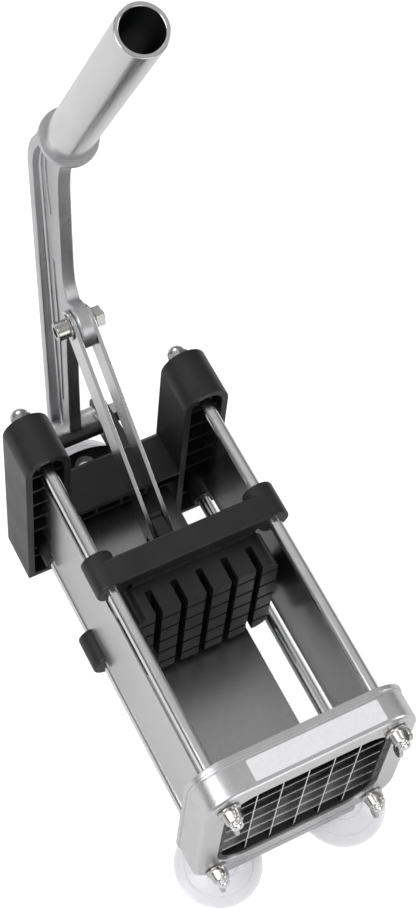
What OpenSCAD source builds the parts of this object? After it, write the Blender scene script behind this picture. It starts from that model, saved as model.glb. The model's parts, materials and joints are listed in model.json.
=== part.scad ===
// Lever french fry cutter: four guide rods, a blade grid in a pressed shell at the front,
// a plastic housing at the back, and a pusher driven along the rods by a tall lever.
// X is the width, the front is towards -Y, and Z = 0 is the table under the suction cups.

/* [Guide rods] */
// Diameter of the guide rods
rod_d = 6.35; // [6:0.05:7]
// How far the rod axes stand in from the sides of the shell
rod_side = 11.65; // [11:0.05:13]
// How far the upper rods lie below the top of the shell
rod_below_top = 12; // [10:0.5:14]
// How far the lower rods lie above the bottom of the shell
rod_above_low = 8.8; // [8:0.1:10]
// Length of the thread that stands out in front of the shell
thread_front = 9.4; // [9:0.1:11]
// Length of the thread that stands out behind the housing
thread_back = 6.2; // [5:0.1:6.6]

/* [Blades] */
// Distance from one blade to the next, the thickness of a fry
blade_pitch = 12.7; // [10:0.1:13]
// Number of blades each way
blade_count = 5; // [3:2:5]
// Thickness of a blade
blade_t = 0.5; // [0.3:0.1:0.8]
// Depth of the upright blades
upright_depth = 8; // [6:0.5:8.5]
// Depth of the level blades, which sit in notches of the upright ones
level_depth = 3.5; // [2.5:0.5:4.5]
// How far each end of a blade is held in the holder
blade_seat = 6; // [4:0.5:6.5]

/* [Front shell] */
// Outer width of the shell
shell_w = 105; // [92:1:120]
// Outer height of the shell
shell_h = 102; // [92:1:115]
// Height of the bottom of the shell above the table
shell_low_z = 19; // [18:0.5:22]
// Depth of the shell behind its front face
shell_depth = 16; // [14:0.5:18]
// Outer corner radius of the shell
shell_corner = 17; // [14:0.5:18]
// Sheet thickness of the shell
shell_t = 1.2; // [0.8:0.1:1.5]
// Width of the front face beside the opening
mouth_rim = 11; // [10:0.5:13]
// Corner radius of the front opening
mouth_corner = 16; // [15:0.5:20]

/* [Blade holder] */
// Depth of the blade holder
holder_depth = 10; // [9:0.5:12]
// Distance from the side of the shell to the passage through the holder
passage_side = 14; // [13:0.5:16]
// Distance from the top and bottom of the shell to the passage
passage_above = 13; // [12:0.5:15]

/* [Guards and floor] */
// Sheet thickness of the guards and floor
sheet_t = 1; // [0.8:0.1:1.5]
// How far the outer face of a guard stands out from the rod axes
guard_out = 2.45; // [2:0.05:3]
// Distance from the upper rod axis down to the top of a guard
guard_below_rod = 11; // [9:0.5:13]
// Distance from the lower rod axis up to the bottom of a guard
guard_above_rod = 9.7; // [9:0.1:12]
// Distance from the rod axes in to the side of the floor tray
floor_side = 14.05; // [13:0.05:16]
// Height of the floor above the lower rod axes
floor_above_rod = 2.7; // [2:0.1:3]

/* [Pusher] */
// Distance from the blades to the pusher face when it is drawn back
pusher_open = 94.5; // [90:0.5:100]
// Room between the sides of the finger block and the passage
block_side = 3; // [2:0.5:6]
// Room between the finger block and the passage, above and below
block_above = 4; // [3:0.5:6]
// Depth of the finger block
block_depth = 17.7; // [16:0.1:20]
// Width of the upright slots between the fingers
slot_w = 3.4; // [1.5:0.1:4]
// Depth of the upright slots
slot_depth = 12.2; // [11:0.1:14]
// Width of the level grooves between the fingers
groove_w = 1.5; // [1.2:0.1:2]
// Depth of the level grooves
groove_depth = 7.5; // [6:0.1:9]
// Outer radius of the upper guide rings
ring_top_r = 7.6; // [6.5:0.1:8]
// Outer radius of the lower guide rings
ring_low_r = 8; // [6.5:0.1:8.5]
// Length of the guide rings along the rods
ring_len = 18; // [12:1:22]

/* [Rear housing] */
// Distance from the blades to the front of the housing
housing_y = 178; // [165:1:190]
// Depth of the housing
housing_depth = 25.7; // [22:0.1:30]
// Width of each housing arm
arm_w = 23; // [20:0.5:25]
// Wall thickness of the housing
housing_t = 3.5; // [3:0.1:4]
// Height of the bottom of the housing above the table
housing_low_z = 5.5; // [4:0.5:8]
// Spacing of the ribs inside an arm
rib_pitch = 13.5; // [11:0.5:16]

/* [Lever] */
// Distance from the back of the housing to the lever pivot
pivot_back = 36.3; // [32:0.1:42]
// Height of the lever pivot
pivot_z = 19; // [18.8:0.1:22]
// Diameter of the pivot bolt
pivot_d = 7; // [6:0.1:8]
// Height of the link eye above the lever pivot
eye_rise = 114; // [100:1:125]
// Distance that the link eye stands in front of the lever pivot
eye_reach = 9; // [7.5:0.5:10.5]
// Thickness of the lever casting
lever_t = 6.6; // [5.5:0.1:7]
// Radius of the eye on the lever
eye_r = 12; // [10:0.5:14]
// Outer radius of the hub tube at the bottom of the lever
hub_r = 7.4; // [6.2:0.1:7.6]
// Length of the hub tube
hub_len = 30; // [26:0.5:35]
// Height of the lever above its pivot, up to the shoulder
lever_rise = 196; // [180:1:215]
// Forward lean of the handle tube from upright, in degrees
handle_lean = 24.8; // [15:0.2:30]
// Outer diameter of the handle tube
handle_d = 20.6; // [18:0.1:23]
// Wall thickness of the handle tube
handle_wall = 1.85; // [1.5:0.05:2.5]
// Length of the handle tube
handle_len = 139.3; // [110:0.1:170]
// Radius of the collar under the handle
collar_r = 13; // [12:0.1:15]

/* [Links] */
// Width of a link bar
link_w = 16; // [13:0.5:18]
// Thickness of a link bar
link_t = 2; // [1.5:0.1:2.5]
// Diameter of the link bolt
link_bolt_d = 6; // [5:0.1:7]
// Diameter of the link pin
link_pin_d = 5; // [4:0.1:6]

/* [Feet] */
// Radius of the suction cups
cup_r = 21; // [18:0.5:24]
// Distance from the side of the shell in to the middle of a front cup
cup_side = 19; // [17:0.5:22]
// Distance from the blades to the middle of the front cups
front_cup_y = 6.8; // [6.4:0.1:7.5]
// Distance that the rear cup lies in front of the lever pivot
rear_cup_ahead = 18; // [16:0.5:22]

/* [Hidden] */

// Smoothness of round shapes
$fn = 72;
// How far a cut runs past the surface that it opens
over = 1;
// Gap between two pieces that are assembled with play
seat_gap = 0.3;
// Radial running clearance of a moving shaft
run_gap = 0.08;
// Radial clearance of a fixed shaft in its hole
fixed_gap = 0.05;

// Places across and up the front: the rods, the grid, the opening and the passage
rod_r = rod_d / 2;
rod_x = shell_w / 2 - rod_side;
rod_top_z = shell_low_z + shell_h - rod_below_top;
rod_low_z = shell_low_z + rod_above_low;
thread_step = 0.175;
thread_r = rod_r - thread_step;
housing_back = housing_y + housing_depth;
grid_z = shell_low_z + shell_h / 2;
mouth_w = shell_w - 2 * mouth_rim;
mouth_h = shell_h - 2 * mouth_rim;
passage_w = shell_w - 2 * passage_side;
passage_h = shell_h - 2 * passage_above;
cup_x = shell_w / 2 - cup_side;

// Guards and floor
guard_x = rod_x + guard_out;
guard_low_z = rod_low_z + guard_above_rod;
guard_high_z = rod_top_z - guard_below_rod;
floor_x = rod_x - floor_side;
floor_z = rod_low_z + floor_above_rod;
floor_edge_h = 6;

// Blade grid
blade_front = 0.5;
blade_play = 0.08;
first_blade = -(blade_count - 1) / 2;
last_blade = (blade_count - 1) / 2;
upright_len = passage_h + 2 * blade_seat;
level_len = passage_w + 2 * blade_seat;

// Blade holder: its play inside the shell and the corner radius of the passage
holder_play = 0.8;
passage_corner = 12;
holder_w = shell_w - 2 * (shell_t + holder_play);
holder_h = shell_h - 2 * (shell_t + holder_play);

// Bead pressed around the rear rim of the shell
bead_out = 0.6;
bead_len = 2.2;

// Wing nut: flange, hub and wings
wing_flange_r = 5.4;
wing_flange_t = 1.3;
wing_hub_r = 4.6;
wing_tip_r = 3.9;
wing_hub_len = 5;
wing_reach = 12.4;
wing_t = 1.7;
wing_root = 3.6;
wing_lobe_r = 3.2;
wing_play = 0.12;
// Turn of each wing nut about its rod, in degrees
turn_top_left = 94;
turn_top_right = 85;
turn_low_left = 92;
turn_low_right = 89;

// Hexagon nuts, bolt heads and washers
hex_r = 5.6;
hex_t = 4.4;
washer_r = 6.4;
washer_t = 1;
dome_r = 4.7;

// Front foot plate
foot_margin = 0.5;
foot_x = cup_x + foot_margin;
foot_drop = 6;
foot_t = 2.4;
foot_lip_z = shell_low_z - foot_drop;
foot_lip_h = 4.6;
foot_lip_t = 2;
foot_set = 1.4;

// Suction cups
cup_rim_t = 1.4;
cup_dome_r = 9;
cup_neck_r = 4.8;
cup_clear = 3.2;
front_cup_h = foot_lip_z - cup_clear;
rear_cup_h = 6.2;
stud_r = 2.5;
cup_nut_r = 4.6;
cup_nut_t = 3.2;
stem_r = 4;
stem_head_r = 5.6;
stem_head_t = 0.9;

// Pusher: places along Y
block_back = pusher_open + block_depth;
ring_ahead = 1.7;
ring_front = block_back - ring_ahead;
block_w = passage_w - 2 * block_side;
block_h = passage_h - 2 * block_above;
yoke_front = block_back + seat_gap;
plate_t = 4.6;
bar_depth = 11;
bar_h = 8.6;
bar_top_z = rod_top_z + ring_top_r;
leg_t = 7.5;
leg_play = 1.5;
plate_inset = 2.5;
plate_w = block_w - 2 * plate_inset;
plate_low_z = grid_z - block_h / 2;
lug_t = 6.4;
// Finger block corners, its crown and the screws behind it
block_corner = 7;
screw_x = 1.5 * blade_pitch;
screw_dz = 1.73 * blade_pitch;
screw_head_r = 4;
screw_head_t = 2.4;
screw_shank_r = 2;
screw_len = 8;

// Free pivot of the linkage: the window in the pusher's lug, around the link pin
window_front = 8;
window_back = 6.1;
window_low = 8.2;
window_high = 9.2;
lug_wall = 3.6;
pin_behind = 27.5;
pin_above = 1.4;

// Linkage points at rest
pivot_y = housing_back + pivot_back;
eye_y = pivot_y - eye_reach;
eye_z = pivot_z + eye_rise;
pin_y = yoke_front + pin_behind;
pin_z = grid_z + pin_above;
pin_reach = eye_y - pin_y;
pin_drop = eye_z - pin_z;
link_len = sqrt(pin_reach * pin_reach + pin_drop * pin_drop);
link_slope = atan(pin_drop / pin_reach);
link_play = 0.25;
link_in = lever_t / 2 + link_play;
link_pin_r = link_bolt_d / 2;
pin_head_r = 4.6;
pin_head_t = 1.6;
low_pin_r = link_pin_d / 2;
cap_r = 4.6;
cap_len = 6;

// Housing bridge between the arms: a deck with ribs under it, in front of the back wall
deck_above_rod = 26.2;
deck_t = 3;
deck_z = rod_low_z + deck_above_rod;
bridge_above_rod = 9.2;
bridge_low_z = rod_low_z + bridge_above_rod;
rib_t = 1.6;
rib_set = 4;
boss_r = 5.2;
low_boss_front = 7;

// Lugs that carry the lever pivot, and the plate over the rear cup
lug_play = 0.5;
lug_w = 5.5;
lug_in = hub_len / 2 + lug_play;
lug_out = lug_in + lug_w;
pivot_r = pivot_d / 2;
pivot_lug_r = 11;
lug_rise = 17;
lug_front_z = pivot_z + lug_rise;
base_low_z = 7;
base_t = 3;
base_short = 8.4;
base_arch_r = 40;
base_back = pivot_y - base_short;
rear_cup_y = pivot_y - rear_cup_ahead;

// Lever casting: a web with a wider flange along its back, and offsets from its pivot
lever_front_low = -7.3;
lever_front_top = 8;
lever_back_low = 13;
lever_back_top = 30;
flange_w = 15;
flange_t = 5;
shoulder_r = 45;
shoulder_bend = 35;
neck_r = 9;
neck_lap = 0.8;
collar_t = 3;
spigot_len = 24;
collar_back = 4.2;
collar_above = 40.3;
collar_y = pivot_y + collar_back;
collar_z = pivot_z + lever_rise + collar_above;

// Stop bar in front of the hub
stop_dy = -9.5;
stop_dz = 8.7;
stop_r = 3.3;
cheek_t = 3;
cheek_r = 5;

// Depth of the whole object, from the rod ends to the back of the lever
front_reach = -(shell_t + thread_front);
back_reach = pivot_y + lever_back_top;
mid_y = (front_reach + back_reach) / 2;

// Puts the blade plane in front of the origin, which lies in the middle of the base
module place() {
    translate([0, -mid_y, 0]) children();
}

// Round bar along Y from y0 to y1
module bar_y(r, y0, y1) {
    translate([0, y0, 0]) rotate([-90, 0, 0]) cylinder(r = r, h = y1 - y0);
}

// Round bar along X from x0 to x1
module bar_x(r, x0, x1, sides = 72) {
    translate([x0, 0, 0]) rotate([0, 90, 0]) cylinder(r = r, h = x1 - x0, $fn = sides);
}

// Plate with an outline drawn in (x, z), from y0 to y1
module plate_y(y0, y1) {
    translate([0, y1, 0]) rotate([90, 0, 0]) linear_extrude(height = y1 - y0) children();
}

// Plate with an outline drawn in (y, z), from x0 to x1
module plate_x(x0, x1) {
    translate([x0, 0, 0]) rotate([90, 0, 90]) linear_extrude(height = x1 - x0) children();
}

// Rectangle with round corners, about its own middle
module soft_rect(w, h, r) {
    square([w - 2 * r, h], center = true);
    square([w, h - 2 * r], center = true);
    for (sx = [-1, 1], sz = [-1, 1])
        translate([sx * (w / 2 - r), sz * (h / 2 - r)]) circle(r = r);
}

// Copies at the left and right
module both_sides() {
    children();
    mirror([1, 0, 0]) children();
}

// Copies at the four rods
module at_rods() {
    for (x = [-rod_x, rod_x], z = [rod_low_z, rod_top_z]) translate([x, 0, z]) children();
}

// Box from one corner to the opposite one
module box(a, b) {
    translate(a) cube(b - a);
}

// Outline of the shell's opening and of the plates that follow it
module shell_outline(inset) {
    translate([0, grid_z])
        soft_rect(shell_w - 2 * inset, shell_h - 2 * inset, shell_corner - inset);
}

module front_shell() {
    color([0.78, 0.78, 0.79]) place() difference() {
        union() {
            plate_y(-shell_t, shell_depth) shell_outline(0);
            plate_y(shell_depth - bead_len, shell_depth) shell_outline(-bead_out);
        }
        plate_y(0, shell_depth + over) shell_outline(shell_t);
        plate_y(-shell_t - over, over)
            translate([0, grid_z]) soft_rect(mouth_w, mouth_h, mouth_corner);
        at_rods() bar_y(thread_r + fixed_gap, -shell_t - over, over);
        for (x = [-cup_x, cup_x]) translate([x, front_cup_y, shell_low_z - over])
            cylinder(r = stud_r + fixed_gap, h = shell_t + 2 * over);
    }
}

// Flat plate under the shell, with a lip turned down at its front edge
module front_foot_plate() {
    plate_z = shell_low_z - foot_t;
    lip_y = -shell_t;
    color([0.76, 0.76, 0.77]) place() difference() {
        union() {
            box([-foot_x, foot_set, plate_z], [foot_x, shell_depth - bead_len - seat_gap, shell_low_z]);
            box([-foot_x, lip_y, foot_lip_z],
                [foot_x, lip_y + foot_lip_t, foot_lip_z + foot_lip_h]);
            box([-foot_x, lip_y, plate_z], [foot_x, foot_set + over, foot_lip_z + foot_lip_h]);
        }
        for (x = [-cup_x, cup_x]) translate([x, front_cup_y, plate_z - over])
            cylinder(r = stud_r + fixed_gap, h = foot_t + 2 * over);
    }
}

module blade_holder() {
    groove = blade_t + 2 * blade_play;
    color([0.17, 0.17, 0.18]) place() difference() {
        plate_y(0, holder_depth) translate([0, grid_z])
            soft_rect(holder_w, holder_h, shell_corner - shell_t - holder_play);
        plate_y(-over, holder_depth + over)
            translate([0, grid_z]) soft_rect(passage_w, passage_h, passage_corner);
        at_rods() bar_y(rod_r + seat_gap, -over, holder_depth + over);
        for (i = [first_blade:last_blade]) {
            box([i * blade_pitch - groove / 2, -over, grid_z - upright_len / 2 - blade_play],
                [i * blade_pitch + groove / 2, blade_front + upright_depth + blade_play,
                 grid_z + upright_len / 2 + blade_play]);
            box([-level_len / 2 - blade_play, -over, grid_z + i * blade_pitch - groove / 2],
                [level_len / 2 + blade_play, blade_front + level_depth + blade_play,
                 grid_z + i * blade_pitch + groove / 2]);
        }
        for (x = [-cup_x, cup_x]) translate([x, front_cup_y, shell_low_z])
            cylinder(r = cup_nut_r + seat_gap, h = shell_t + seat_gap + cup_nut_t + holder_play);
    }
}

module upright_blades() {
    notch = blade_t + 2 * blade_play;
    color([0.80, 0.81, 0.82]) place() for (i = [first_blade:last_blade]) difference() {
        box([i * blade_pitch - blade_t / 2, blade_front, grid_z - upright_len / 2],
            [i * blade_pitch + blade_t / 2, blade_front + upright_depth, grid_z + upright_len / 2]);
        for (j = [first_blade:last_blade])
            box([i * blade_pitch - over, -over, grid_z + j * blade_pitch - notch / 2],
                [i * blade_pitch + over, blade_front + level_depth + blade_play,
                 grid_z + j * blade_pitch + notch / 2]);
    }
}

module level_blades() {
    color([0.80, 0.81, 0.82]) place() for (j = [first_blade:last_blade])
        box([-level_len / 2, blade_front, grid_z + j * blade_pitch - blade_t / 2],
            [level_len / 2, blade_front + level_depth, grid_z + j * blade_pitch + blade_t / 2]);
}

// One guide rod with its thinner threaded ends
module rod() {
    shoulder = housing_back - housing_t;
    bar_y(rod_r, 0, shoulder);
    bar_y(thread_r, front_reach, over);
    bar_y(thread_r, shoulder - over, housing_back + thread_back);
}

module top_rods() {
    color([0.82, 0.83, 0.85]) place()
        for (x = [-rod_x, rod_x]) translate([x, 0, rod_top_z]) rod();
}

module lower_rods() {
    color([0.82, 0.83, 0.85]) place()
        for (x = [-rod_x, rod_x]) translate([x, 0, rod_low_z]) rod();
}

// Washer and domed nut behind each arm of the housing
module rod_nuts() {
    nut_front = housing_back + washer_t;
    color([0.75, 0.75, 0.77]) place() at_rods() difference() {
        union() {
            bar_y(washer_r, housing_back, nut_front);
            translate([0, nut_front, 0]) rotate([-90, 0, 0]) cylinder(r = hex_r, h = hex_t, $fn = 6);
            translate([0, nut_front + hex_t, 0]) difference() {
                sphere(r = dome_r);
                bar_y(2 * dome_r, -2 * dome_r, 0);
            }
        }
        bar_y(thread_r + fixed_gap, housing_back - over, housing_back + thread_back + fixed_gap);
    }
}

// Polished sheet beside the chute, standing between the upper and the lower rod
module guard() {
    box([guard_x - sheet_t, holder_depth + seat_gap, guard_low_z],
        [guard_x, housing_y + rib_set - seat_gap, guard_high_z]);
}

module left_guard() {
    color([0.72, 0.72, 0.74]) place() mirror([1, 0, 0]) guard();
}

module right_guard() {
    color([0.72, 0.72, 0.74]) place() guard();
}

// Floor of the chute, a sheet with both edges turned down
module floor_tray() {
    floor_front = holder_depth + seat_gap;
    floor_back = housing_back - housing_t - seat_gap;
    color([0.68, 0.68, 0.69]) place() {
        box([-floor_x, floor_front, floor_z - sheet_t], [floor_x, floor_back, floor_z]);
        both_sides() box([floor_x - sheet_t, floor_front, floor_z - floor_edge_h],
                         [floor_x, floor_back, floor_z - sheet_t / 2]);
    }
}

// Outline of one housing arm, drawn in (x, z) about the rod's x
module arm_outline(inset) {
    arm_r = arm_w / 2 - inset;
    translate([rod_x, rod_top_z]) circle(r = arm_r);
    translate([rod_x - arm_r, housing_low_z + inset])
        square([2 * arm_r, rod_top_z - housing_low_z - inset]);
}

module housing_arm() {
    cavity_back = housing_back - housing_t;
    rib_front = housing_y + rib_set;
    inner_r = arm_w / 2 - housing_t + over;
    first_rib = housing_low_z + rib_pitch;
    difference() {
        plate_y(housing_y, housing_back) arm_outline(0);
        plate_y(housing_y - over, cavity_back) arm_outline(housing_t);
    }
    for (z = [first_rib:rib_pitch:rod_top_z + rib_pitch / 2])
        if (abs(z - rod_low_z) > boss_r && abs(z - rod_top_z) > boss_r)
            box([rod_x - inner_r, rib_front, z - rib_t / 2],
                [rod_x + inner_r, cavity_back + over, z + rib_t / 2]);
    box([rod_x - rib_t / 2, rib_front, rod_top_z],
        [rod_x + rib_t / 2, cavity_back + over, rod_top_z + arm_w / 2 - over]);
    translate([rod_x, 0, rod_top_z]) bar_y(boss_r, rib_front, cavity_back + over);
    translate([rod_x, 0, rod_low_z]) bar_y(boss_r, housing_y - low_boss_front, cavity_back + over);
    for (z = [rod_low_z, rod_top_z])
        box([rod_x - inner_r, rib_front, z - rib_t / 2],
            [rod_x + inner_r, cavity_back + over, z + rib_t / 2]);
}

// Bridge between the arms: a deck with a sloping rear edge, a back wall and ribs below
module bridge() {
    cavity_back = housing_back - housing_t;
    x_out = rod_x - arm_w / 2 + housing_t / 2;
    box([-x_out, housing_y, deck_z - deck_t], [x_out, cavity_back + over, deck_z]);
    box([-x_out, cavity_back, housing_low_z], [x_out, housing_back, deck_z - deck_t]);
    plate_x(-x_out, x_out) polygon([[cavity_back, deck_z - deck_t - over],
        [housing_back, deck_z - deck_t - over], [cavity_back + over, deck_z]]);
    for (z = [bridge_low_z, (bridge_low_z + deck_z - deck_t) / 2])
        box([-x_out, housing_y + rib_set, z - rib_t / 2], [x_out, cavity_back + over, z + rib_t / 2]);
    for (i = [-1:1])
        box([i * rib_pitch - rib_t / 2, housing_y + rib_set, bridge_low_z],
            [i * rib_pitch + rib_t / 2, cavity_back + over, deck_z - deck_t / 2]);
}

// Lug that carries the lever pivot
module pivot_lug() {
    plate_x(lug_in, lug_out) {
        polygon([[housing_back - over, base_low_z], [pivot_y, base_low_z],
            [pivot_y, pivot_z + pivot_lug_r], [housing_back - over, lug_front_z]]);
        translate([pivot_y, pivot_z]) circle(r = pivot_lug_r);
    }
}

module rear_housing() {
    cavity_back = housing_back - housing_t;
    color([0.17, 0.17, 0.18]) place() difference() {
        union() {
            both_sides() housing_arm();
            bridge();
            both_sides() pivot_lug();
            intersection() {
                box([-lug_out, housing_back - over, base_low_z],
                    [lug_out, base_back, base_low_z + base_t]);
                translate([0, base_back - base_arch_r, base_low_z]) cylinder(r = base_arch_r, h = base_t);
            }
        }
        at_rods() bar_y(rod_r + fixed_gap, housing_y - low_boss_front - over, cavity_back);
        at_rods() bar_y(thread_r + fixed_gap, housing_y, housing_back + over);
        translate([0, pivot_y, pivot_z]) bar_x(pivot_r + fixed_gap, -lug_out - over, lug_out + over);
        translate([0, rear_cup_y, base_low_z - over])
            cylinder(r = stem_r + fixed_gap, h = base_t + 2 * over);
    }
}

// Bolt through both lugs and the lever's hub, its hexagon head on the left
module pivot_bolt() {
    color([0.72, 0.72, 0.74]) place() translate([0, pivot_y, pivot_z]) {
        bar_x(pivot_r, -lug_out - over, lug_out + hex_t + washer_t + over);
        bar_x(washer_r, -lug_out - washer_t, -lug_out);
        bar_x(hex_r, -lug_out - washer_t - hex_t, -lug_out - washer_t, 6);
    }
}

module pivot_nut() {
    color([0.72, 0.72, 0.74]) place() translate([0, pivot_y, pivot_z]) difference() {
        union() {
            bar_x(washer_r, lug_out, lug_out + washer_t);
            bar_x(hex_r, lug_out + washer_t, lug_out + washer_t + hex_t, 6);
        }
        bar_x(pivot_r + fixed_gap, lug_out - over, lug_out + washer_t + hex_t + over);
    }
}

// Suction cup of the given height: a thin flared skirt under a solid neck, hollow below
module cup(height) {
    rotate_extrude() polygon([[0, height - 2 * cup_rim_t], [cup_dome_r, height - 3 * cup_rim_t],
        [cup_r - cup_rim_t, 0], [cup_r, 0], [cup_r, cup_rim_t / 2],
        [cup_dome_r + cup_rim_t, height - cup_rim_t], [cup_neck_r, height], [0, height]]);
}

module front_cups() {
    neck_top = shell_low_z - foot_t;
    color([0.86, 0.87, 0.90, 0.6]) place()
        for (x = [-cup_x, cup_x]) translate([x, front_cup_y, 0]) difference() {
            union() {
                cup(front_cup_h);
                translate([0, 0, front_cup_h - over])
                    cylinder(r = cup_neck_r, h = neck_top - front_cup_h + over);
            }
            translate([0, 0, neck_top - cup_neck_r])
                cylinder(r = stud_r + fixed_gap, h = cup_neck_r + over);
        }
}

// The rear cup is held by its own button, pushed through the base plate
module rear_cup() {
    stem_top = base_low_z + base_t;
    color([0.86, 0.87, 0.90, 0.6]) place() translate([0, rear_cup_y, 0]) {
        cup(rear_cup_h);
        translate([0, 0, rear_cup_h - over]) cylinder(r = cup_neck_r, h = base_low_z - rear_cup_h + over);
        translate([0, 0, base_low_z - over]) cylinder(r = stem_r, h = base_t + 2 * over - stem_head_t / 2);
        translate([0, 0, stem_top]) cylinder(r = stem_head_r, h = stem_head_t);
    }
}

// Studs moulded into the front cups
module cup_studs() {
    stud_low = shell_low_z - foot_t - cup_neck_r;
    stud_top = shell_low_z + shell_t + seat_gap + cup_nut_t;
    color([0.72, 0.72, 0.74]) place() for (x = [-cup_x, cup_x])
        translate([x, front_cup_y, stud_low]) cylinder(r = stud_r, h = stud_top - stud_low);
}

module cup_nuts() {
    color([0.72, 0.72, 0.74]) place() for (x = [-cup_x, cup_x])
        translate([x, front_cup_y, shell_low_z + shell_t + seat_gap]) difference() {
            cylinder(r = cup_nut_r, h = cup_nut_t, $fn = 6);
            translate([0, 0, -over]) cylinder(r = stud_r + fixed_gap, h = cup_nut_t + 2 * over);
        }
}

// Wing nut about its own rod, with both wings turned from the X axis
module wing_nut(x, z, turn) {
    flange_back = -shell_t - wing_play;
    hub_back = flange_back - wing_flange_t;
    hub_front = hub_back - wing_hub_len;
    lobe_x = wing_reach - wing_lobe_r;
    lobe_y = front_reach + wing_lobe_r;
    color([0.74, 0.73, 0.72]) place() translate([x, 0, z]) rotate([0, -turn, 0]) difference() {
        union() {
            bar_y(wing_flange_r, hub_back, flange_back);
            translate([0, hub_front, 0]) rotate([-90, 0, 0])
                cylinder(r1 = wing_tip_r, r2 = wing_hub_r, h = wing_hub_len);
            both_sides() translate([0, 0, -wing_t / 2]) linear_extrude(height = wing_t) {
                polygon([[thread_r, hub_back + over / 2], [wing_hub_r, hub_back + over / 2],
                    [wing_reach, lobe_y], [lobe_x, lobe_y - wing_lobe_r],
                    [thread_r + over, hub_front + wing_root / 2], [thread_r, hub_back]]);
                translate([lobe_x, lobe_y]) circle(r = wing_lobe_r);
            }
        }
        bar_y(thread_r + run_gap, front_reach - over, over);
    }
}

module wing_nut_top_left() { wing_nut(-rod_x, rod_top_z, turn_top_left); }
module wing_nut_top_right() { wing_nut(rod_x, rod_top_z, turn_top_right); }
module wing_nut_low_left() { wing_nut(-rod_x, rod_low_z, turn_low_left); }
module wing_nut_low_right() { wing_nut(rod_x, rod_low_z, turn_low_right); }

// Black frame that runs on the rods and carries the finger block
module pusher_yoke() {
    plate_top = bar_top_z - bar_h + over;
    lug_low = pin_z - window_low - lug_wall;
    lug_high = pin_z + window_high + lug_wall;
    lug_back = pin_y + window_back + lug_wall;
    leg_in = plate_w / 2 - leg_t;
    leg_low_in = floor_x + leg_play;
    color([0.17, 0.17, 0.18]) place() difference() {
        union() {
            box([-rod_x, ring_front, bar_top_z - bar_h], [rod_x, yoke_front + bar_depth, bar_top_z]);
            box([-plate_w / 2, yoke_front, plate_low_z], [plate_w / 2, yoke_front + plate_t, plate_top]);
            both_sides() {
                translate([rod_x, 0, rod_top_z]) bar_y(ring_top_r, ring_front, ring_front + ring_len);
                translate([rod_x, 0, rod_low_z]) bar_y(ring_low_r, ring_front, ring_front + ring_len);
                plate_y(yoke_front, yoke_front + leg_t) polygon([[leg_in, grid_z - leg_t],
                    [plate_w / 2, grid_z - 2 * leg_t], [rod_x, rod_low_z + ring_low_r - over],
                    [rod_x, rod_low_z], [leg_low_in, rod_low_z + over],
                    [leg_low_in, floor_z + over], [leg_in, plate_low_z]]);
                box([leg_in, yoke_front, plate_low_z],
                    [leg_in + rib_t, yoke_front + bar_depth, plate_top]);
            }
            for (i = [first_blade:last_blade])
                box([i * blade_pitch - rib_t / 2, yoke_front, plate_low_z + leg_t],
                    [i * blade_pitch + rib_t / 2, yoke_front + bar_depth / 2 + rib_t, plate_top]);
            box([-lug_t / 2, yoke_front, lug_low], [lug_t / 2, lug_back, lug_high]);
        }
        at_rods() bar_y(rod_r + run_gap, ring_front - over, ring_front + ring_len + over);
        box([-lug_t, pin_y - window_front, pin_z - window_low],
            [lug_t, pin_y + window_back, pin_z + window_high]);
        for (x = [-screw_x, screw_x], z = [grid_z - screw_dz, grid_z + screw_dz])
            translate([x, 0, z])
                bar_y(screw_shank_r + fixed_gap, yoke_front - over, yoke_front + plate_t + over);
    }
}

// Block of square fingers that push the food through the grid
module finger_block() {
    half_w = block_w / 2;
    half_h = block_h / 2;
    color([0.17, 0.17, 0.18]) place() difference() {
        plate_y(pusher_open, block_back) translate([0, grid_z]) soft_rect(block_w, block_h, block_corner);
        for (i = [first_blade:last_blade]) {
            box([i * blade_pitch - slot_w / 2, pusher_open - over, grid_z - half_h - over],
                [i * blade_pitch + slot_w / 2, pusher_open + slot_depth, grid_z + half_h + over]);
            box([-half_w - over, pusher_open - over, grid_z + i * blade_pitch - groove_w / 2],
                [half_w + over, pusher_open + groove_depth, grid_z + i * blade_pitch + groove_w / 2]);
        }
        for (x = [-screw_x, screw_x], z = [grid_z - screw_dz, grid_z + screw_dz])
            translate([x, 0, z])
                bar_y(screw_shank_r + fixed_gap, block_back + plate_t - screw_len, block_back + over);
    }
}

// Pan head screws that hold the finger block to the yoke
module block_screws() {
    head_front = yoke_front + plate_t;
    color([0.45, 0.45, 0.47]) place()
        for (x = [-screw_x, screw_x], z = [grid_z - screw_dz, grid_z + screw_dz]) translate([x, 0, z]) {
            bar_y(screw_head_r, head_front, head_front + screw_head_t);
            bar_y(screw_shank_r, block_back + plate_t - screw_len + fixed_gap, head_front + over);
        }
}

// Flat bar from the lever's eye to the pusher's pin, its inner face at x_in
module link(x_in) {
    color([0.80, 0.80, 0.81]) place() difference() {
        plate_x(x_in, x_in + link_t) translate([eye_y, eye_z]) rotate(180 + link_slope) {
            translate([0, -link_w / 2]) square([link_len, link_w]);
            circle(r = link_w / 2);
            translate([link_len, 0]) circle(r = link_w / 2);
        }
        translate([0, eye_y, eye_z]) bar_x(link_pin_r + run_gap, x_in - over, x_in + link_t + over);
        translate([0, pin_y, pin_z]) bar_x(low_pin_r + fixed_gap, x_in - over, x_in + link_t + over);
    }
}

module left_link() { link(-link_in - link_t); }
module right_link() { link(link_in); }

// Headed pin through the lower ends of both links
module link_pin() {
    outer = link_in + link_t;
    color([0.72, 0.72, 0.74]) place() translate([0, pin_y, pin_z]) {
        bar_x(low_pin_r, -outer - pin_head_t / 2, outer + pin_head_t / 2);
        both_sides() bar_x(pin_head_r, outer, outer + pin_head_t);
    }
}

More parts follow.
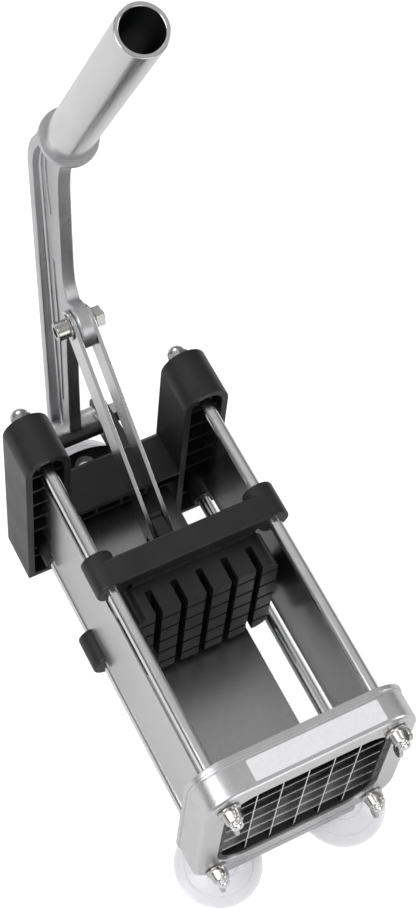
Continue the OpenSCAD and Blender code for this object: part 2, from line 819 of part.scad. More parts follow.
// Back of the lever from its hub up to the collar as (y, z) points, moved in by an inset
function back_points(inset) = concat(
    [[pivot_y + lever_back_low - inset, pivot_z]],
    [for (a = [0:shoulder_bend / 5:shoulder_bend])
        [pivot_y + lever_back_top - shoulder_r + (shoulder_r - inset) * cos(a),
         pivot_z + lever_rise + (shoulder_r - inset) * sin(a)]],
    [[collar_y + (neck_r + neck_lap - inset) * cos(handle_lean),
      collar_z + (neck_r + neck_lap - inset) * sin(handle_lean)]]);

// Outline of the lever's web in (y, z)
module lever_outline() {
    front_top = pivot_y + lever_front_top;
    polygon(concat(
        [[pivot_y, pivot_z - hub_r], [pivot_y + hub_r, pivot_z]], back_points(0),
        [[collar_y - (neck_r + neck_lap) * cos(handle_lean),
          collar_z - (neck_r + neck_lap) * sin(handle_lean)],
         [front_top - over, pivot_z + lever_rise + 2 * hub_r], [front_top, pivot_z + lever_rise],
         [eye_y + eye_r + over, eye_z + 2 * eye_r], [eye_y + eye_r - over, eye_z + eye_r + 2 * over],
         [eye_y + eye_r / 2, eye_z + eye_r], [eye_y, eye_z - eye_r],
         [eye_y + 2 * eye_r / 3, eye_z - 2 * eye_r], [pivot_y + lever_front_low, pivot_z]]));
    translate([eye_y, eye_z]) circle(r = eye_r);
    translate([pivot_y, pivot_z]) circle(r = hub_r);
}

// Flange along the back of the lever, rooted in the hub
module lever_flange() {
    outer = back_points(0);
    inner = back_points(flange_t);
    plate_x(-flange_w / 2, flange_w / 2) polygon(concat(
        [[pivot_y, pivot_z - hub_r], [pivot_y + lever_back_low - hub_r / 2, pivot_z - hub_r],
         [pivot_y + lever_back_low, pivot_z - hub_r / 2]],
        outer, [for (i = [len(inner) - 1:-1:0]) inner[i]], [[pivot_y, pivot_z]]));
}

module lever_arm() {
    color([0.77, 0.77, 0.78]) place() difference() {
        union() {
            plate_x(-lever_t / 2, lever_t / 2) lever_outline();
            lever_flange();
            translate([0, pivot_y, pivot_z]) bar_x(hub_r, -hub_len / 2, hub_len / 2);
            translate([0, collar_y, collar_z]) rotate([handle_lean, 0, 0]) {
                cylinder(r = collar_r, h = collar_t);
                cylinder(r = handle_d / 2 - handle_wall - fixed_gap, h = collar_t + spigot_len);
                translate([0, 0, -neck_r]) cylinder(r = neck_r, h = neck_r + over);
            }
            both_sides() plate_x(hub_len / 2 - cheek_t, hub_len / 2) {
                translate([pivot_y + stop_dy, pivot_z + stop_dz]) circle(r = cheek_r);
                polygon([[pivot_y + stop_dy - cheek_r, pivot_z + stop_dz], [pivot_y - cheek_r, pivot_z],
                    [pivot_y, pivot_z + cheek_r], [pivot_y + stop_dy, pivot_z + stop_dz + cheek_r]]);
            }
        }
        translate([0, pivot_y, pivot_z]) bar_x(pivot_r + run_gap, -hub_len, hub_len);
        translate([0, eye_y, eye_z]) bar_x(link_pin_r + fixed_gap, -lever_t, lever_t);
        translate([0, pivot_y + stop_dy, pivot_z + stop_dz]) bar_x(stop_r + fixed_gap, -hub_len, hub_len);
    }
}

module stop_bar() {
    color([0.13, 0.13, 0.14]) place() translate([0, pivot_y + stop_dy, pivot_z + stop_dz])
        bar_x(stop_r, -hub_len / 2, hub_len / 2);
}

module handle_tube() {
    color([0.74, 0.74, 0.75]) place() translate([0, collar_y, collar_z]) rotate([handle_lean, 0, 0])
        translate([0, 0, collar_t]) difference() {
            cylinder(r = handle_d / 2, h = handle_len);
            translate([0, 0, -over]) cylinder(r = handle_d / 2 - handle_wall, h = handle_len + 2 * over);
        }
}

// Bolt through the lever's eye and both links, its round cap head on the left
module link_bolt() {
    outer = link_in + link_t;
    color([0.75, 0.75, 0.77]) place() translate([0, eye_y, eye_z]) {
        bar_x(link_pin_r, -outer - washer_t, outer + washer_t + hex_t + over);
        bar_x(washer_r, -outer - washer_t, -outer - fixed_gap);
        bar_x(cap_r, -outer - washer_t - cap_len, -outer - washer_t);
    }
}

module link_nut() {
    outer = link_in + link_t;
    color([0.75, 0.75, 0.77]) place() translate([0, eye_y, eye_z]) difference() {
        union() {
            bar_x(washer_r, outer + fixed_gap, outer + washer_t);
            bar_x(hex_r, outer + washer_t, outer + washer_t + hex_t, 6);
        }
        bar_x(link_pin_r + fixed_gap, outer - over, outer + washer_t + hex_t + over);
    }
}

front_shell();
front_foot_plate();
blade_holder();
upright_blades();
level_blades();
top_rods();
lower_rods();
rod_nuts();
left_guard();
right_guard();
floor_tray();
rear_housing();
pivot_bolt();
pivot_nut();
front_cups();
rear_cup();
cup_studs();
cup_nuts();
wing_nut_top_left();
wing_nut_top_right();
wing_nut_low_left();
wing_nut_low_right();
pusher_yoke();
finger_block();
block_screws();
left_link();
right_link();
link_pin();
lever_arm();
stop_bar();
handle_tube();
link_bolt();
link_nut();
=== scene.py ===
"""Looks for a lever french fry cutter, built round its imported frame.

X is the width, -Y the front with the blade grid, +Z up, in metres. Each operator below makes one
piece or a group of like pieces, and the stage operator makes the floor, the lights and the camera.
"""

import json
import math

import bmesh
import bpy
from bpy.props import FloatProperty, FloatVectorProperty, IntProperty, PointerProperty
from mathutils import Matrix, Vector

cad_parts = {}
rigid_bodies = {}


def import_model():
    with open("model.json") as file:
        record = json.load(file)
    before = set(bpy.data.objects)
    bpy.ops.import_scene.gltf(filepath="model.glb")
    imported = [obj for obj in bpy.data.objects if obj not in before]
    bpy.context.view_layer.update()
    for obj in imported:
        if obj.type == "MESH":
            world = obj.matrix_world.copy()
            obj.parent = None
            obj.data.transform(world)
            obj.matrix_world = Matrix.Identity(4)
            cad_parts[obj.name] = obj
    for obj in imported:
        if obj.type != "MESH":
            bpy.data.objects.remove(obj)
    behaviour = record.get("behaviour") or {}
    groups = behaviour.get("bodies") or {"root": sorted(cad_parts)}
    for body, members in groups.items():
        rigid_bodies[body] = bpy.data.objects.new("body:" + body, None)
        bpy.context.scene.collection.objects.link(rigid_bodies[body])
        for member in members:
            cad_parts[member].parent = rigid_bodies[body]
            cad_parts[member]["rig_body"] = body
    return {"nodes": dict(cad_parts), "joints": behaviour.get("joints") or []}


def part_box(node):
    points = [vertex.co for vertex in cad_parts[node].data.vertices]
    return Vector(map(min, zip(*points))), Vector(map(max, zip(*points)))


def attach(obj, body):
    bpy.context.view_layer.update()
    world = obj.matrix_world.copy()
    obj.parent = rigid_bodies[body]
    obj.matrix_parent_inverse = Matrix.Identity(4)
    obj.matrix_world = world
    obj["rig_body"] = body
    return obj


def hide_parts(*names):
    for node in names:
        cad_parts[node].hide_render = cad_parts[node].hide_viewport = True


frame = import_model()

bl_info = {
    "name": "Fry Cutter Looks",
    "version": (1, 0, 0),
    "blender": (4, 5, 0),
    "location": "View3D > Sidebar > Fry Cutter",
    "description": "Builds the finished pieces of a lever french fry cutter",
    "category": "Object",
}

MM = 0.001
WELD = 2e-6
FLAT_ANGLE = math.radians(0.3)
SHARP_ANGLE = math.radians(32)
FULL_TURN = 2 * math.pi
NODES = frame["nodes"]

# Sizes that several pieces share, in metres.
RELIEF_DEPTH = 0.05 * MM
HEX_RADIUS = 5.6 * MM
WASHER_RADIUS = 6.4 * MM
WASHER_THICK = 1 * MM

# Places in millimetres across, behind the blade plane and above the table; a pair is (y, z).
BLADE_PITCH = 12.7
ROD_X, ROD_TOP_Z, ROD_LOW_Z = 40.85, 109, 27.8
YOKE_FRONT, PLATE_FRONT, YOKE_BACK = 110.5, 112.5, 128.5
LEVER_HUB = (240, 19)
LEVER_COLLAR = (244.2, 255.3)
COLLAR_LEAN = math.radians(24.8)


class FryCutterSizes(bpy.types.PropertyGroup):
    """Sizes of the details that the frame doesn't carry"""

    fold: FloatProperty(
        name="Shell fold", description="Outer radius of the fold round the front face",
        default=2.2 * MM, unit="LENGTH")
    sheet: FloatProperty(
        name="Shell sheet", description="Thickness of the shell's sheet metal",
        default=1.2 * MM, unit="LENGTH")
    bead: FloatProperty(
        name="Rim bead", description="How far the bead round the rear rim stands out",
        default=0.6 * MM, unit="LENGTH")
    shell_corner: FloatProperty(
        name="Shell corner", description="Corner radius of the shell", default=17 * MM, unit="LENGTH")
    rod_reach: FloatProperty(
        name="Rod reach", description="How far the rods stand out in front of the blade plane",
        default=10.6 * MM, unit="LENGTH")
    thread_pitch: FloatProperty(
        name="Thread pitch", description="Distance between the threads of the rods",
        default=1 * MM, unit="LENGTH")
    thread_depth: FloatProperty(
        name="Thread depth", description="Depth of the threads", default=0.4 * MM, unit="LENGTH")
    plastic_edge: FloatProperty(
        name="Plastic edge", description="Rounding of the moulded edges", default=0.45 * MM,
        unit="LENGTH")
    cast_edge: FloatProperty(
        name="Cast edge", description="Rounding of the edges of the lever", default=0.8 * MM,
        unit="LENGTH")
    sheet_edge: FloatProperty(
        name="Sheet edge", description="Rounding of cut sheet edges", default=0.2 * MM,
        unit="LENGTH")
    turn_steps: IntProperty(
        name="Turn steps", description="Facets round a turned piece", default=64, min=12)


class FryCutterColours(bpy.types.PropertyGroup):
    """Colours of the finishes"""

    shell: FloatVectorProperty(
        name="Shell", description="Satin sheet metal", default=(0.66, 0.66, 0.67), subtype="COLOR")
    polished: FloatVectorProperty(
        name="Polished sheet", description="Guards beside the chute", default=(0.62, 0.62, 0.63),
        subtype="COLOR")
    worn: FloatVectorProperty(
        name="Worn sheet", description="Floor of the chute", default=(0.46, 0.46, 0.46),
        subtype="COLOR")
    chrome: FloatVectorProperty(
        name="Chrome", description="Guide rods", default=(0.80, 0.80, 0.81), subtype="COLOR")
    plated: FloatVectorProperty(
        name="Plated", description="Nuts, bolts and wing nuts", default=(0.58, 0.57, 0.55),
        subtype="COLOR")
    cast: FloatVectorProperty(
        name="Cast metal", description="Lever casting", default=(0.60, 0.60, 0.61),
        subtype="COLOR")
    tube: FloatVectorProperty(
        name="Tube", description="Handle tube and links", default=(0.68, 0.68, 0.69),
        subtype="COLOR")
    blade: FloatVectorProperty(
        name="Blade", description="Blade steel", default=(0.82, 0.82, 0.83), subtype="COLOR")
    plastic: FloatVectorProperty(
        name="Plastic", description="Black moulded plastic", default=(0.014, 0.014, 0.015),
        subtype="COLOR")
    vinyl: FloatVectorProperty(
        name="Vinyl", description="Clear suction cups", default=(0.80, 0.80, 0.86),
        subtype="COLOR")
    sticker: FloatVectorProperty(
        name="Sticker", description="Blank sticker on the shell", default=(0.84, 0.84, 0.86),
        subtype="COLOR")
    floor: FloatVectorProperty(
        name="Floor", description="Studio floor", default=(0.90, 0.90, 0.90), subtype="COLOR")


def sizes():
    return bpy.context.scene.fry_cutter_sizes


def colours():
    return bpy.context.scene.fry_cutter_colours


# Node materials. Each finish is a short function on the helpers below.


def new_material(name):
    """An empty node material: its tree, its shader and its object coordinates."""
    material = bpy.data.materials.new(name)
    material.use_nodes = True
    tree = material.node_tree
    shader = tree.nodes["Principled BSDF"]
    place = tree.nodes.new("ShaderNodeTexCoord").outputs["Object"]
    return material, tree, shader, place


def noise(tree, place, scale, detail=3, stretch=(1, 1, 1)):
    """Noise on the given coordinates, drawn out along an axis by a stretch below 1."""
    mapping = tree.nodes.new("ShaderNodeMapping")
    mapping.inputs["Scale"].default_value = stretch
    tree.links.new(place, mapping.inputs["Vector"])
    texture = tree.nodes.new("ShaderNodeTexNoise")
    texture.inputs["Scale"].default_value = scale
    texture.inputs["Detail"].default_value = detail
    tree.links.new(mapping.outputs["Vector"], texture.inputs["Vector"])
    return texture.outputs["Fac"]


def span(tree, value, low, high):
    """Maps the middle of a noise to the numbers between low and high."""
    node = tree.nodes.new("ShaderNodeMapRange")
    node.inputs["From Min"].default_value = 0.3
    node.inputs["From Max"].default_value = 0.7
    node.inputs["To Min"].default_value = low
    node.inputs["To Max"].default_value = high
    tree.links.new(value, node.inputs["Value"])
    return node.outputs["Result"]


def tint(tree, value, colour, darker, lighter):
    """Blends between a darker and a lighter shade of a colour."""
    node = tree.nodes.new("ShaderNodeMix")
    node.data_type = "RGBA"
    node.inputs["A"].default_value = [channel * darker for channel in colour] + [1]
    node.inputs["B"].default_value = [min(1, channel * lighter) for channel in colour] + [1]
    tree.links.new(value, node.inputs["Factor"])
    return node.outputs["Result"]


def bumped(tree, shader, height, strength, depth=RELIEF_DEPTH):
    """Adds a fine relief to the shader."""
    node = tree.nodes.new("ShaderNodeBump")
    node.inputs["Strength"].default_value = strength
    node.inputs["Distance"].default_value = depth
    tree.links.new(height, node.inputs["Height"])
    tree.links.new(node.outputs["Normal"], shader.inputs["Normal"])


def metal(name, colour, rough, grain, relief, stretch=(1, 1, 1), shades=(0.9, 1.08)):
    """A metal with a grain that varies its shade, its gloss and its relief."""
    material, tree, shader, place = new_material(name)
    shader.inputs["Metallic"].default_value = 1
    fine = noise(tree, place, grain, 4, stretch)
    broad = noise(tree, place, grain / 30, 3)
    mixed = tree.nodes.new("ShaderNodeMix")
    mixed.inputs["Factor"].default_value = 0.5
    tree.links.new(fine, mixed.inputs["A"])
    tree.links.new(broad, mixed.inputs["B"])
    tree.links.new(tint(tree, span(tree, mixed.outputs["Result"], 0, 1), colour, *shades),
                   shader.inputs["Base Color"])
    tree.links.new(span(tree, fine, *rough), shader.inputs["Roughness"])
    bumped(tree, shader, fine, relief)
    return material


def satin_shell():
    return metal("satin_shell", colours().shell, (0.28, 0.42), 1500, 0.12)


def polished_sheet():
    return metal("polished_sheet", colours().polished, (0.16, 0.26), 900, 0.04, (1, 0.03, 1))


def worn_floor():
    """Floor sheet with faint broad stains."""
    return metal("worn_floor", colours().worn, (0.29, 0.32), 300, 0.01, shades=(0.92, 1.07))


def chrome_rod():
    return metal("chrome_rod", colours().chrome, (0.12, 0.22), 1200, 0.03, (1, 0.02, 1))


def plated_steel():
    return metal("plated_steel", colours().plated, (0.20, 0.28), 500, 0.01)


def cast_metal():
    return metal("cast_metal", colours().cast, (0.30, 0.50), 1100, 0.30, shades=(0.82, 1.12))


def satin_tube():
    return metal("satin_tube", colours().tube, (0.16, 0.24), 1600, 0.04)


def bar_steel():
    """Smooth rolled steel of the link bars."""
    return metal("bar_steel", colours().tube, (0.18, 0.26), 500, 0.01, shades=(0.96, 1.04))


def edge_highlight_blade_steel():
    """Blade steel with a painted highlight along its front edge and painted shade behind it, where it
    is much darker.
    """
    material, tree, shader, place = new_material("edge_highlight_blade_steel")
    shader.inputs["Metallic"].default_value = 1
    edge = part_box("upright_blades")[0].y
    split = tree.nodes.new("ShaderNodeSeparateXYZ")
    tree.links.new(place, split.inputs["Vector"])
    # Painted highlight and shade: the front edge gets 1.15 times the blade colour, and from 0.35 to
    # 0.75 mm behind it the colour falls to 0.3 times.
    behind = tree.nodes.new("ShaderNodeMapRange")
    behind.inputs["From Min"].default_value = edge + 0.35 * MM
    behind.inputs["From Max"].default_value = edge + 0.75 * MM
    tree.links.new(split.outputs["Y"], behind.inputs["Value"])
    tree.links.new(tint(tree, behind.outputs["Result"], colours().blade, 1.15, 0.3),
                   shader.inputs["Base Color"])
    fine = noise(tree, place, 900, 3, (0.05, 1, 0.05))
    tree.links.new(span(tree, fine, 0.14, 0.26), shader.inputs["Roughness"])
    bumped(tree, shader, fine, 0.03)
    return material


def moulded_black():
    """Satin moulded plastic with a fine grain and faint flow marks."""
    material, tree, shader, place = new_material("moulded_black")
    shader.inputs["Specular IOR Level"].default_value = 0.38
    fine = noise(tree, place, 1800, 2)
    broad = noise(tree, place, 45, 3)
    tree.links.new(tint(tree, span(tree, broad, 0, 1), colours().plastic, 0.8, 1.35),
                   shader.inputs["Base Color"])
    tree.links.new(span(tree, broad, 0.34, 0.44), shader.inputs["Roughness"])
    bumped(tree, shader, fine, 0.12)
    return material


def black_bar():
    """Black coated steel of the cross bar."""
    material, tree, shader, place = new_material("black_bar")
    fine = noise(tree, place, 700, 3, (0.1, 1, 1))
    tree.links.new(tint(tree, span(tree, fine, 0, 1), colours().plastic, 0.8, 1.6),
                   shader.inputs["Base Color"])
    tree.links.new(span(tree, fine, 0.28, 0.42), shader.inputs["Roughness"])
    bumped(tree, shader, fine, 0.05)
    return material


def clear_vinyl():
    """Clear soft vinyl with a faint cool cast."""
    material, tree, shader, place = new_material("clear_vinyl")
    shader.inputs["Alpha"].default_value = 0.42
    broad = noise(tree, place, 120, 2)
    tree.links.new(tint(tree, span(tree, broad, 0, 1), colours().vinyl, 0.96, 1.0),
                   shader.inputs["Base Color"])
    tree.links.new(span(tree, broad, 0.12, 0.22), shader.inputs["Roughness"])
    bumped(tree, shader, broad, 0.05, 0.2 * MM)
    return material


def sticker_film():
    """Satin film of the blank sticker."""
    material, tree, shader, place = new_material("sticker_film")
    fine = noise(tree, place, 600, 2)
    tree.links.new(tint(tree, span(tree, fine, 0, 1), colours().sticker, 0.97, 1.02),
                   shader.inputs["Base Color"])
    tree.links.new(span(tree, fine, 0.28, 0.38), shader.inputs["Roughness"])
    bumped(tree, shader, fine, 0.03)
    return material


def finish(maker):
    """The material that a finish function makes, made once and named like the function."""
    return bpy.data.materials.get(maker.__name__) or maker()


# Mesh helpers


def add_piece(name, bm, material, nodes):
    """Makes a piece of a finished bmesh. It rides on its nodes' body and stands for them."""
    bmesh.ops.remove_doubles(bm, verts=bm.verts, dist=WELD)
    bmesh.ops.recalc_face_normals(bm, faces=bm.faces)
    for face in bm.faces:
        face.smooth = True
    for edge in bm.edges:
        edge.smooth = edge.calc_face_angle(0) < SHARP_ANGLE
    mesh = bpy.data.meshes.new(name)
    bm.to_mesh(mesh)
    bm.free()
    mesh.materials.append(material)
    piece = bpy.data.objects.new(name, mesh)
    bpy.context.scene.collection.objects.link(piece)
    weighted = piece.modifiers.new("even_shading", "WEIGHTED_NORMAL")
    weighted.keep_sharp = True
    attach(piece, NODES[nodes[0]]["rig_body"])
    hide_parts(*nodes)
    return piece


def node_mesh(node):
    """A welded copy of a frame node's mesh, with its flat faces whole."""
    bm = bmesh.new()
    bm.from_mesh(NODES[node].data)
    bmesh.ops.remove_doubles(bm, verts=bm.verts, dist=WELD)
    bmesh.ops.dissolve_limit(
        bm, angle_limit=FLAT_ANGLE, verts=bm.verts, edges=bm.edges, use_dissolve_boundaries=False)
    return bm


def bevel(bm, edges, width, segments, clamp=False):
    """Rounds the given edges of a mesh."""
    bmesh.ops.bevel(
        bm, geom=edges, offset=width, offset_type="OFFSET", affect="EDGES", segments=segments,
        profile=0.5, clamp_overlap=clamp, material=-1)


def round_edges(bm, width, segments=2, chosen=None):
    """Rounds the sharp edges of a mesh, or only the chosen ones of them."""
    edges = [
        edge for edge in bm.edges
        if len(edge.link_faces) == 2 and edge.calc_face_angle(0) > SHARP_ANGLE
        and (chosen is None or chosen(edge))
    ]
    bevel(bm, edges, width, segments)


def soft_piece(node, width, material, segments=2, weld=0):
    """A frame node with its edges rounded."""
    bm = node_mesh(node)
    if weld:
        bmesh.ops.remove_doubles(bm, verts=bm.verts, dist=weld)
    round_edges(bm, width, segments)
    return add_piece("soft_" + node, bm, material, [node])


def blade_plane():
    """Where the plane of the blades lies; the places of details are measured from it."""
    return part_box("top_rods")[0].y + sizes().rod_reach


def spot(x, y, z):
    """A place in metres, given in millimetres from the blade plane and the table."""
    return Vector((x * MM, y * MM + blade_plane(), z * MM))


def block(bm, low, high, soft, segments=2):
    """A box between two corners in millimetres, with every edge rounded."""
    one, other = spot(*low), spot(*high)
    made = bmesh.ops.create_cube(bm, size=1)
    bmesh.ops.scale(bm, vec=other - one, verts=made["verts"])
    bmesh.ops.translate(bm, vec=(one + other) / 2, verts=made["verts"])
    edges = list({edge for v in made["verts"] for edge in v.link_edges})
    bevel(bm, edges, soft * MM, segments, clamp=True)


def side_plate(bm, outline, x0, x1, soft, segments=3):
    """A plate with an outline of (y, z) in millimetres, from x0 to x1, with rounded rims."""
    start = set(bm.verts)
    verts = [bm.verts.new(spot(x0, y, z)) for y, z in outline]
    grown = bmesh.ops.extrude_face_region(bm, geom=[bm.faces.new(verts)])
    lifted = [v for v in grown["geom"] if isinstance(v, bmesh.types.BMVert)]
    bmesh.ops.translate(bm, vec=((x1 - x0) * MM, 0, 0), verts=lifted)
    made = [v for v in bm.verts if v not in start]
    edges = {edge for v in made for edge in v.link_edges}
    rims = [e for e in edges if abs(e.verts[0].co.x - e.verts[1].co.x) < (x1 - x0) * MM / 2]
    bevel(bm, rims, soft * MM, segments)


def arc(y, z, radius, start, end, steps):
    """Points of an arc about (y, z), from one angle in degrees to another."""
    angles = [math.radians(start + (end - start) * i / steps) for i in range(steps + 1)]
    return [(y + radius * math.cos(a), z + radius * math.sin(a)) for a in angles]


def turned(bm, profile, centre, axis, steps=None, closed=False):
    """Turns a profile of (distance along the axis, radius) about a line through centre."""
    axis = Vector(axis).normalized()
    side = axis.orthogonal().normalized()
    verts = [bm.verts.new(Vector(centre) + axis * along + side * radius)
             for along, radius in profile]
    pairs = list(zip(verts, verts[1:]))
    if closed:
        pairs.append((verts[-1], verts[0]))
    edges = [bm.edges.new(pair) for pair in pairs]
    bmesh.ops.spin(
        bm, geom=verts + edges, cent=centre, axis=axis, angle=FULL_TURN,
        steps=steps or sizes().turn_steps, use_merge=True, use_duplicate=False)
    bmesh.ops.remove_doubles(bm, verts=bm.verts, dist=WELD)


def washer(start, soft, last=1):
    """Outside of a washer in a turned profile; its far rim is rounded by so many times soft."""
    end = start + WASHER_THICK
    return [(start, WASHER_RADIUS - soft), (start + soft, WASHER_RADIUS), (end - soft, WASHER_RADIUS),
            (end, WASHER_RADIUS - last * soft)]


def hexagon(bm, length, centre, axis, radius=HEX_RADIUS, chamfer=0.45 * MM):
    """A hexagon nut or head from centre along axis, with its corners turned off at both ends."""
    before = set(bm.verts)
    made = bmesh.ops.create_cone(
        bm, cap_ends=True, segments=6, radius1=radius, radius2=radius, depth=length,
        matrix=Matrix.Translation((0, 0, length / 2)))
    caps = [face for face in {f for v in made["verts"] for f in v.link_faces}
            if len(face.verts) == 6]
    bmesh.ops.inset_region(bm, faces=caps, thickness=chamfer, depth=0, use_even_offset=True)
    verts = [v for v in bm.verts if v not in before]
    for v in verts:
        if v.co.xy.length > radius - chamfer / 2:
            v.co.z += chamfer if v.co.z < length / 2 else -chamfer
    turn = Vector((0, 0, 1)).rotation_difference(Vector(axis)).to_matrix().to_4x4()
    bmesh.ops.transform(bm, matrix=Matrix.Translation(centre) @ turn, verts=verts)


def add_nut(bm, start, end, bore, collar, centre):
    """A hexagon nut across the lever, between two places on X, on a washer with a bore."""
    turned(bm, [(start, bore)] + collar + [(start + WASHER_THICK, bore)], centre, (1, 0, 0), 40, True)
    seat = start + WASHER_THICK
    hexagon(bm, end - seat, (seat, centre[1], centre[2]), (1, 0, 0))


class PieceOperator(bpy.types.Operator):
    """Shared options of the piece operators"""

    bl_options = {"REGISTER", "UNDO"}


class FRYCUTTER_OT_shell(PieceOperator):
    """Makes the pressed front shell, with its folded front and its beaded rear rim"""

    bl_idname = "fry_cutter.shell"
    bl_label = "Front shell"

    def execute(self, context):
        size = sizes()
        low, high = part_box("front_shell")
        half_x = (high.x - low.x) / 2 - size.bead - size.shell_corner
        half_z = (high.z - low.z) / 2 - size.bead - size.shell_corner
        middle = (low.z + high.z) / 2
        corner = size.shell_corner
        rim_soft, bead_length, tolerance = 0.25 * MM, 3 * MM, 0.05 * MM
        groove_back, groove_half, groove_depth = 3.7 * MM, 0.3 * MM, 0.22 * MM

        def from_core(co):
            """Step in the upright plane from the core of the shell's rounded rectangle."""
            x = max(-half_x, min(half_x, co.x))
            z = max(-half_z, min(half_z, co.z - middle))
            return Vector((co.x - x, 0, co.z - middle - z))

        def on_loop(edge, inset, y):
            return all(
                abs(v.co.y - y) < WELD * 5
                and abs(from_core(v.co).length - corner + inset) < tolerance
                for v in edge.verts)

        def in_face(edge):
            return all(
                v.co.y < low.y + 2 * tolerance
                and from_core(v.co).length < corner - 1.5 * size.fold
                for v in edge.verts)

        def in_bead(edge):
            return max(v.co.y for v in edge.verts) > high.y - bead_length

        bm = node_mesh("front_shell")
        round_edges(bm, size.fold, 5, lambda edge: on_loop(edge, 0, low.y))
        round_edges(bm, size.fold / 2, 3, lambda edge: on_loop(edge, size.sheet, low.y + size.sheet))
        round_edges(bm, rim_soft, 2, in_bead)
        round_edges(bm, rim_soft, 2, in_face)
        groove_y = high.y - groove_back
        for y in (groove_y + groove_half, groove_y, groove_y - groove_half):
            bmesh.ops.bisect_plane(
                bm, geom=list(bm.verts) + list(bm.edges) + list(bm.faces), dist=WELD / 10,
                plane_co=(0, y, 0), plane_no=(0, 1, 0))
        for v in bm.verts:
            out = from_core(v.co)
            if abs(v.co.y - groove_y) < WELD and out.length > corner - 2 * tolerance:
                v.co -= out.normalized() * groove_depth
        add_piece("pressed_shell", bm, finish(satin_shell), ["front_shell"])
        return {"FINISHED"}


class FRYCUTTER_OT_sticker(PieceOperator):
    """Lays a blank sticker on top of the shell"""

    bl_idname = "fry_cutter.sticker"
    bl_label = "Blank sticker"

    def execute(self, context):
        low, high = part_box("front_shell")
        top = high.z - sizes().bead
        thick, corner = 0.12 * MM, 0.8 * MM
        left, right = -27.4 * MM, 36.5 * MM
        front_gap, back_gap = 2.4 * MM, 4.6 * MM
        front, back = low.y + front_gap, high.y - back_gap
        bm = bmesh.new()
        made = bmesh.ops.create_cube(bm, size=1)
        bmesh.ops.scale(bm, vec=(right - left, back - front, thick), verts=made["verts"])
        bmesh.ops.translate(
            bm, vec=((left + right) / 2, (front + back) / 2, top + thick / 2), verts=made["verts"])
        uprights = [e for e in bm.edges if abs(e.verts[0].co.z - e.verts[1].co.z) > thick / 2]
        bevel(bm, uprights, corner, 4, clamp=True)
        mesh = bpy.data.meshes.new("blank_sticker")
        bm.to_mesh(mesh)
        bm.free()
        mesh.materials.append(finish(sticker_film))
        piece = bpy.data.objects.new("blank_sticker", mesh)
        context.scene.collection.objects.link(piece)
        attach(piece, "frame")
        return {"FINISHED"}


class FRYCUTTER_OT_grid(PieceOperator):
    """Finishes the foot plate, the blade holder and the blades"""

    bl_idname = "fry_cutter.grid"
    bl_label = "Blade grid"

    def execute(self, context):
        size = sizes()
        soft_piece("front_foot_plate", size.sheet_edge * 2, finish(satin_shell))
        soft_piece("blade_holder", size.plastic_edge / 2, finish(moulded_black))
        for node in ("upright_blades", "level_blades"):
            NODES[node].data.materials.clear()
            NODES[node].data.materials.append(finish(edge_highlight_blade_steel))
        return {"FINISHED"}


def threaded(start, end, radius, pitch, depth):
    """Profile of a thread between two places along the axis, from start to end."""
    count = max(1, int(abs(end - start) / pitch))
    step = (end - start) / count
    points = [(start, radius - depth)]
    for i in range(count):
        points += [(start + step * (i + 0.45), radius), (start + step * (i + 0.6), radius),
                   (start + step * (i + 1), radius - depth)]
    return points


class FRYCUTTER_OT_rods(PieceOperator):
    """Makes the four guide rods with their threaded ends"""

    bl_idname = "fry_cutter.rods"
    bl_label = "Guide rods"

    def execute(self, context):
        size = sizes()
        thread_step, rear_thread, tip = 0.175 * MM, 9.7 * MM, 0.5 * MM
        for node in ("top_rods", "lower_rods"):
            low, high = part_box(node)
            radius = (high.z - low.z) / 2
            across = high.x - radius
            level = (high.z + low.z) / 2
            thread = radius - thread_step
            shoulder_front, shoulder_back = blade_plane(), high.y - rear_thread
            profile = [(low.y, 0), (low.y, thread - 2 * tip)]
            profile += threaded(low.y + tip, shoulder_front, thread, size.thread_pitch,
                                size.thread_depth)
            profile += [(shoulder_front, radius - tip / 2), (shoulder_front + tip / 2, radius),
                        (shoulder_back - tip / 2, radius), (shoulder_back, radius - tip / 2)]
            profile += threaded(shoulder_back, high.y - tip, thread, size.thread_pitch,
                                size.thread_depth)
            profile += [(high.y, thread - 2 * tip), (high.y, 0)]
            bm = bmesh.new()
            for x in (-across, across):
                turned(bm, profile, (x, 0, level), (0, 1, 0), 48)
            add_piece("turned_" + node, bm, finish(chrome_rod), [node])
        return {"FINISHED"}


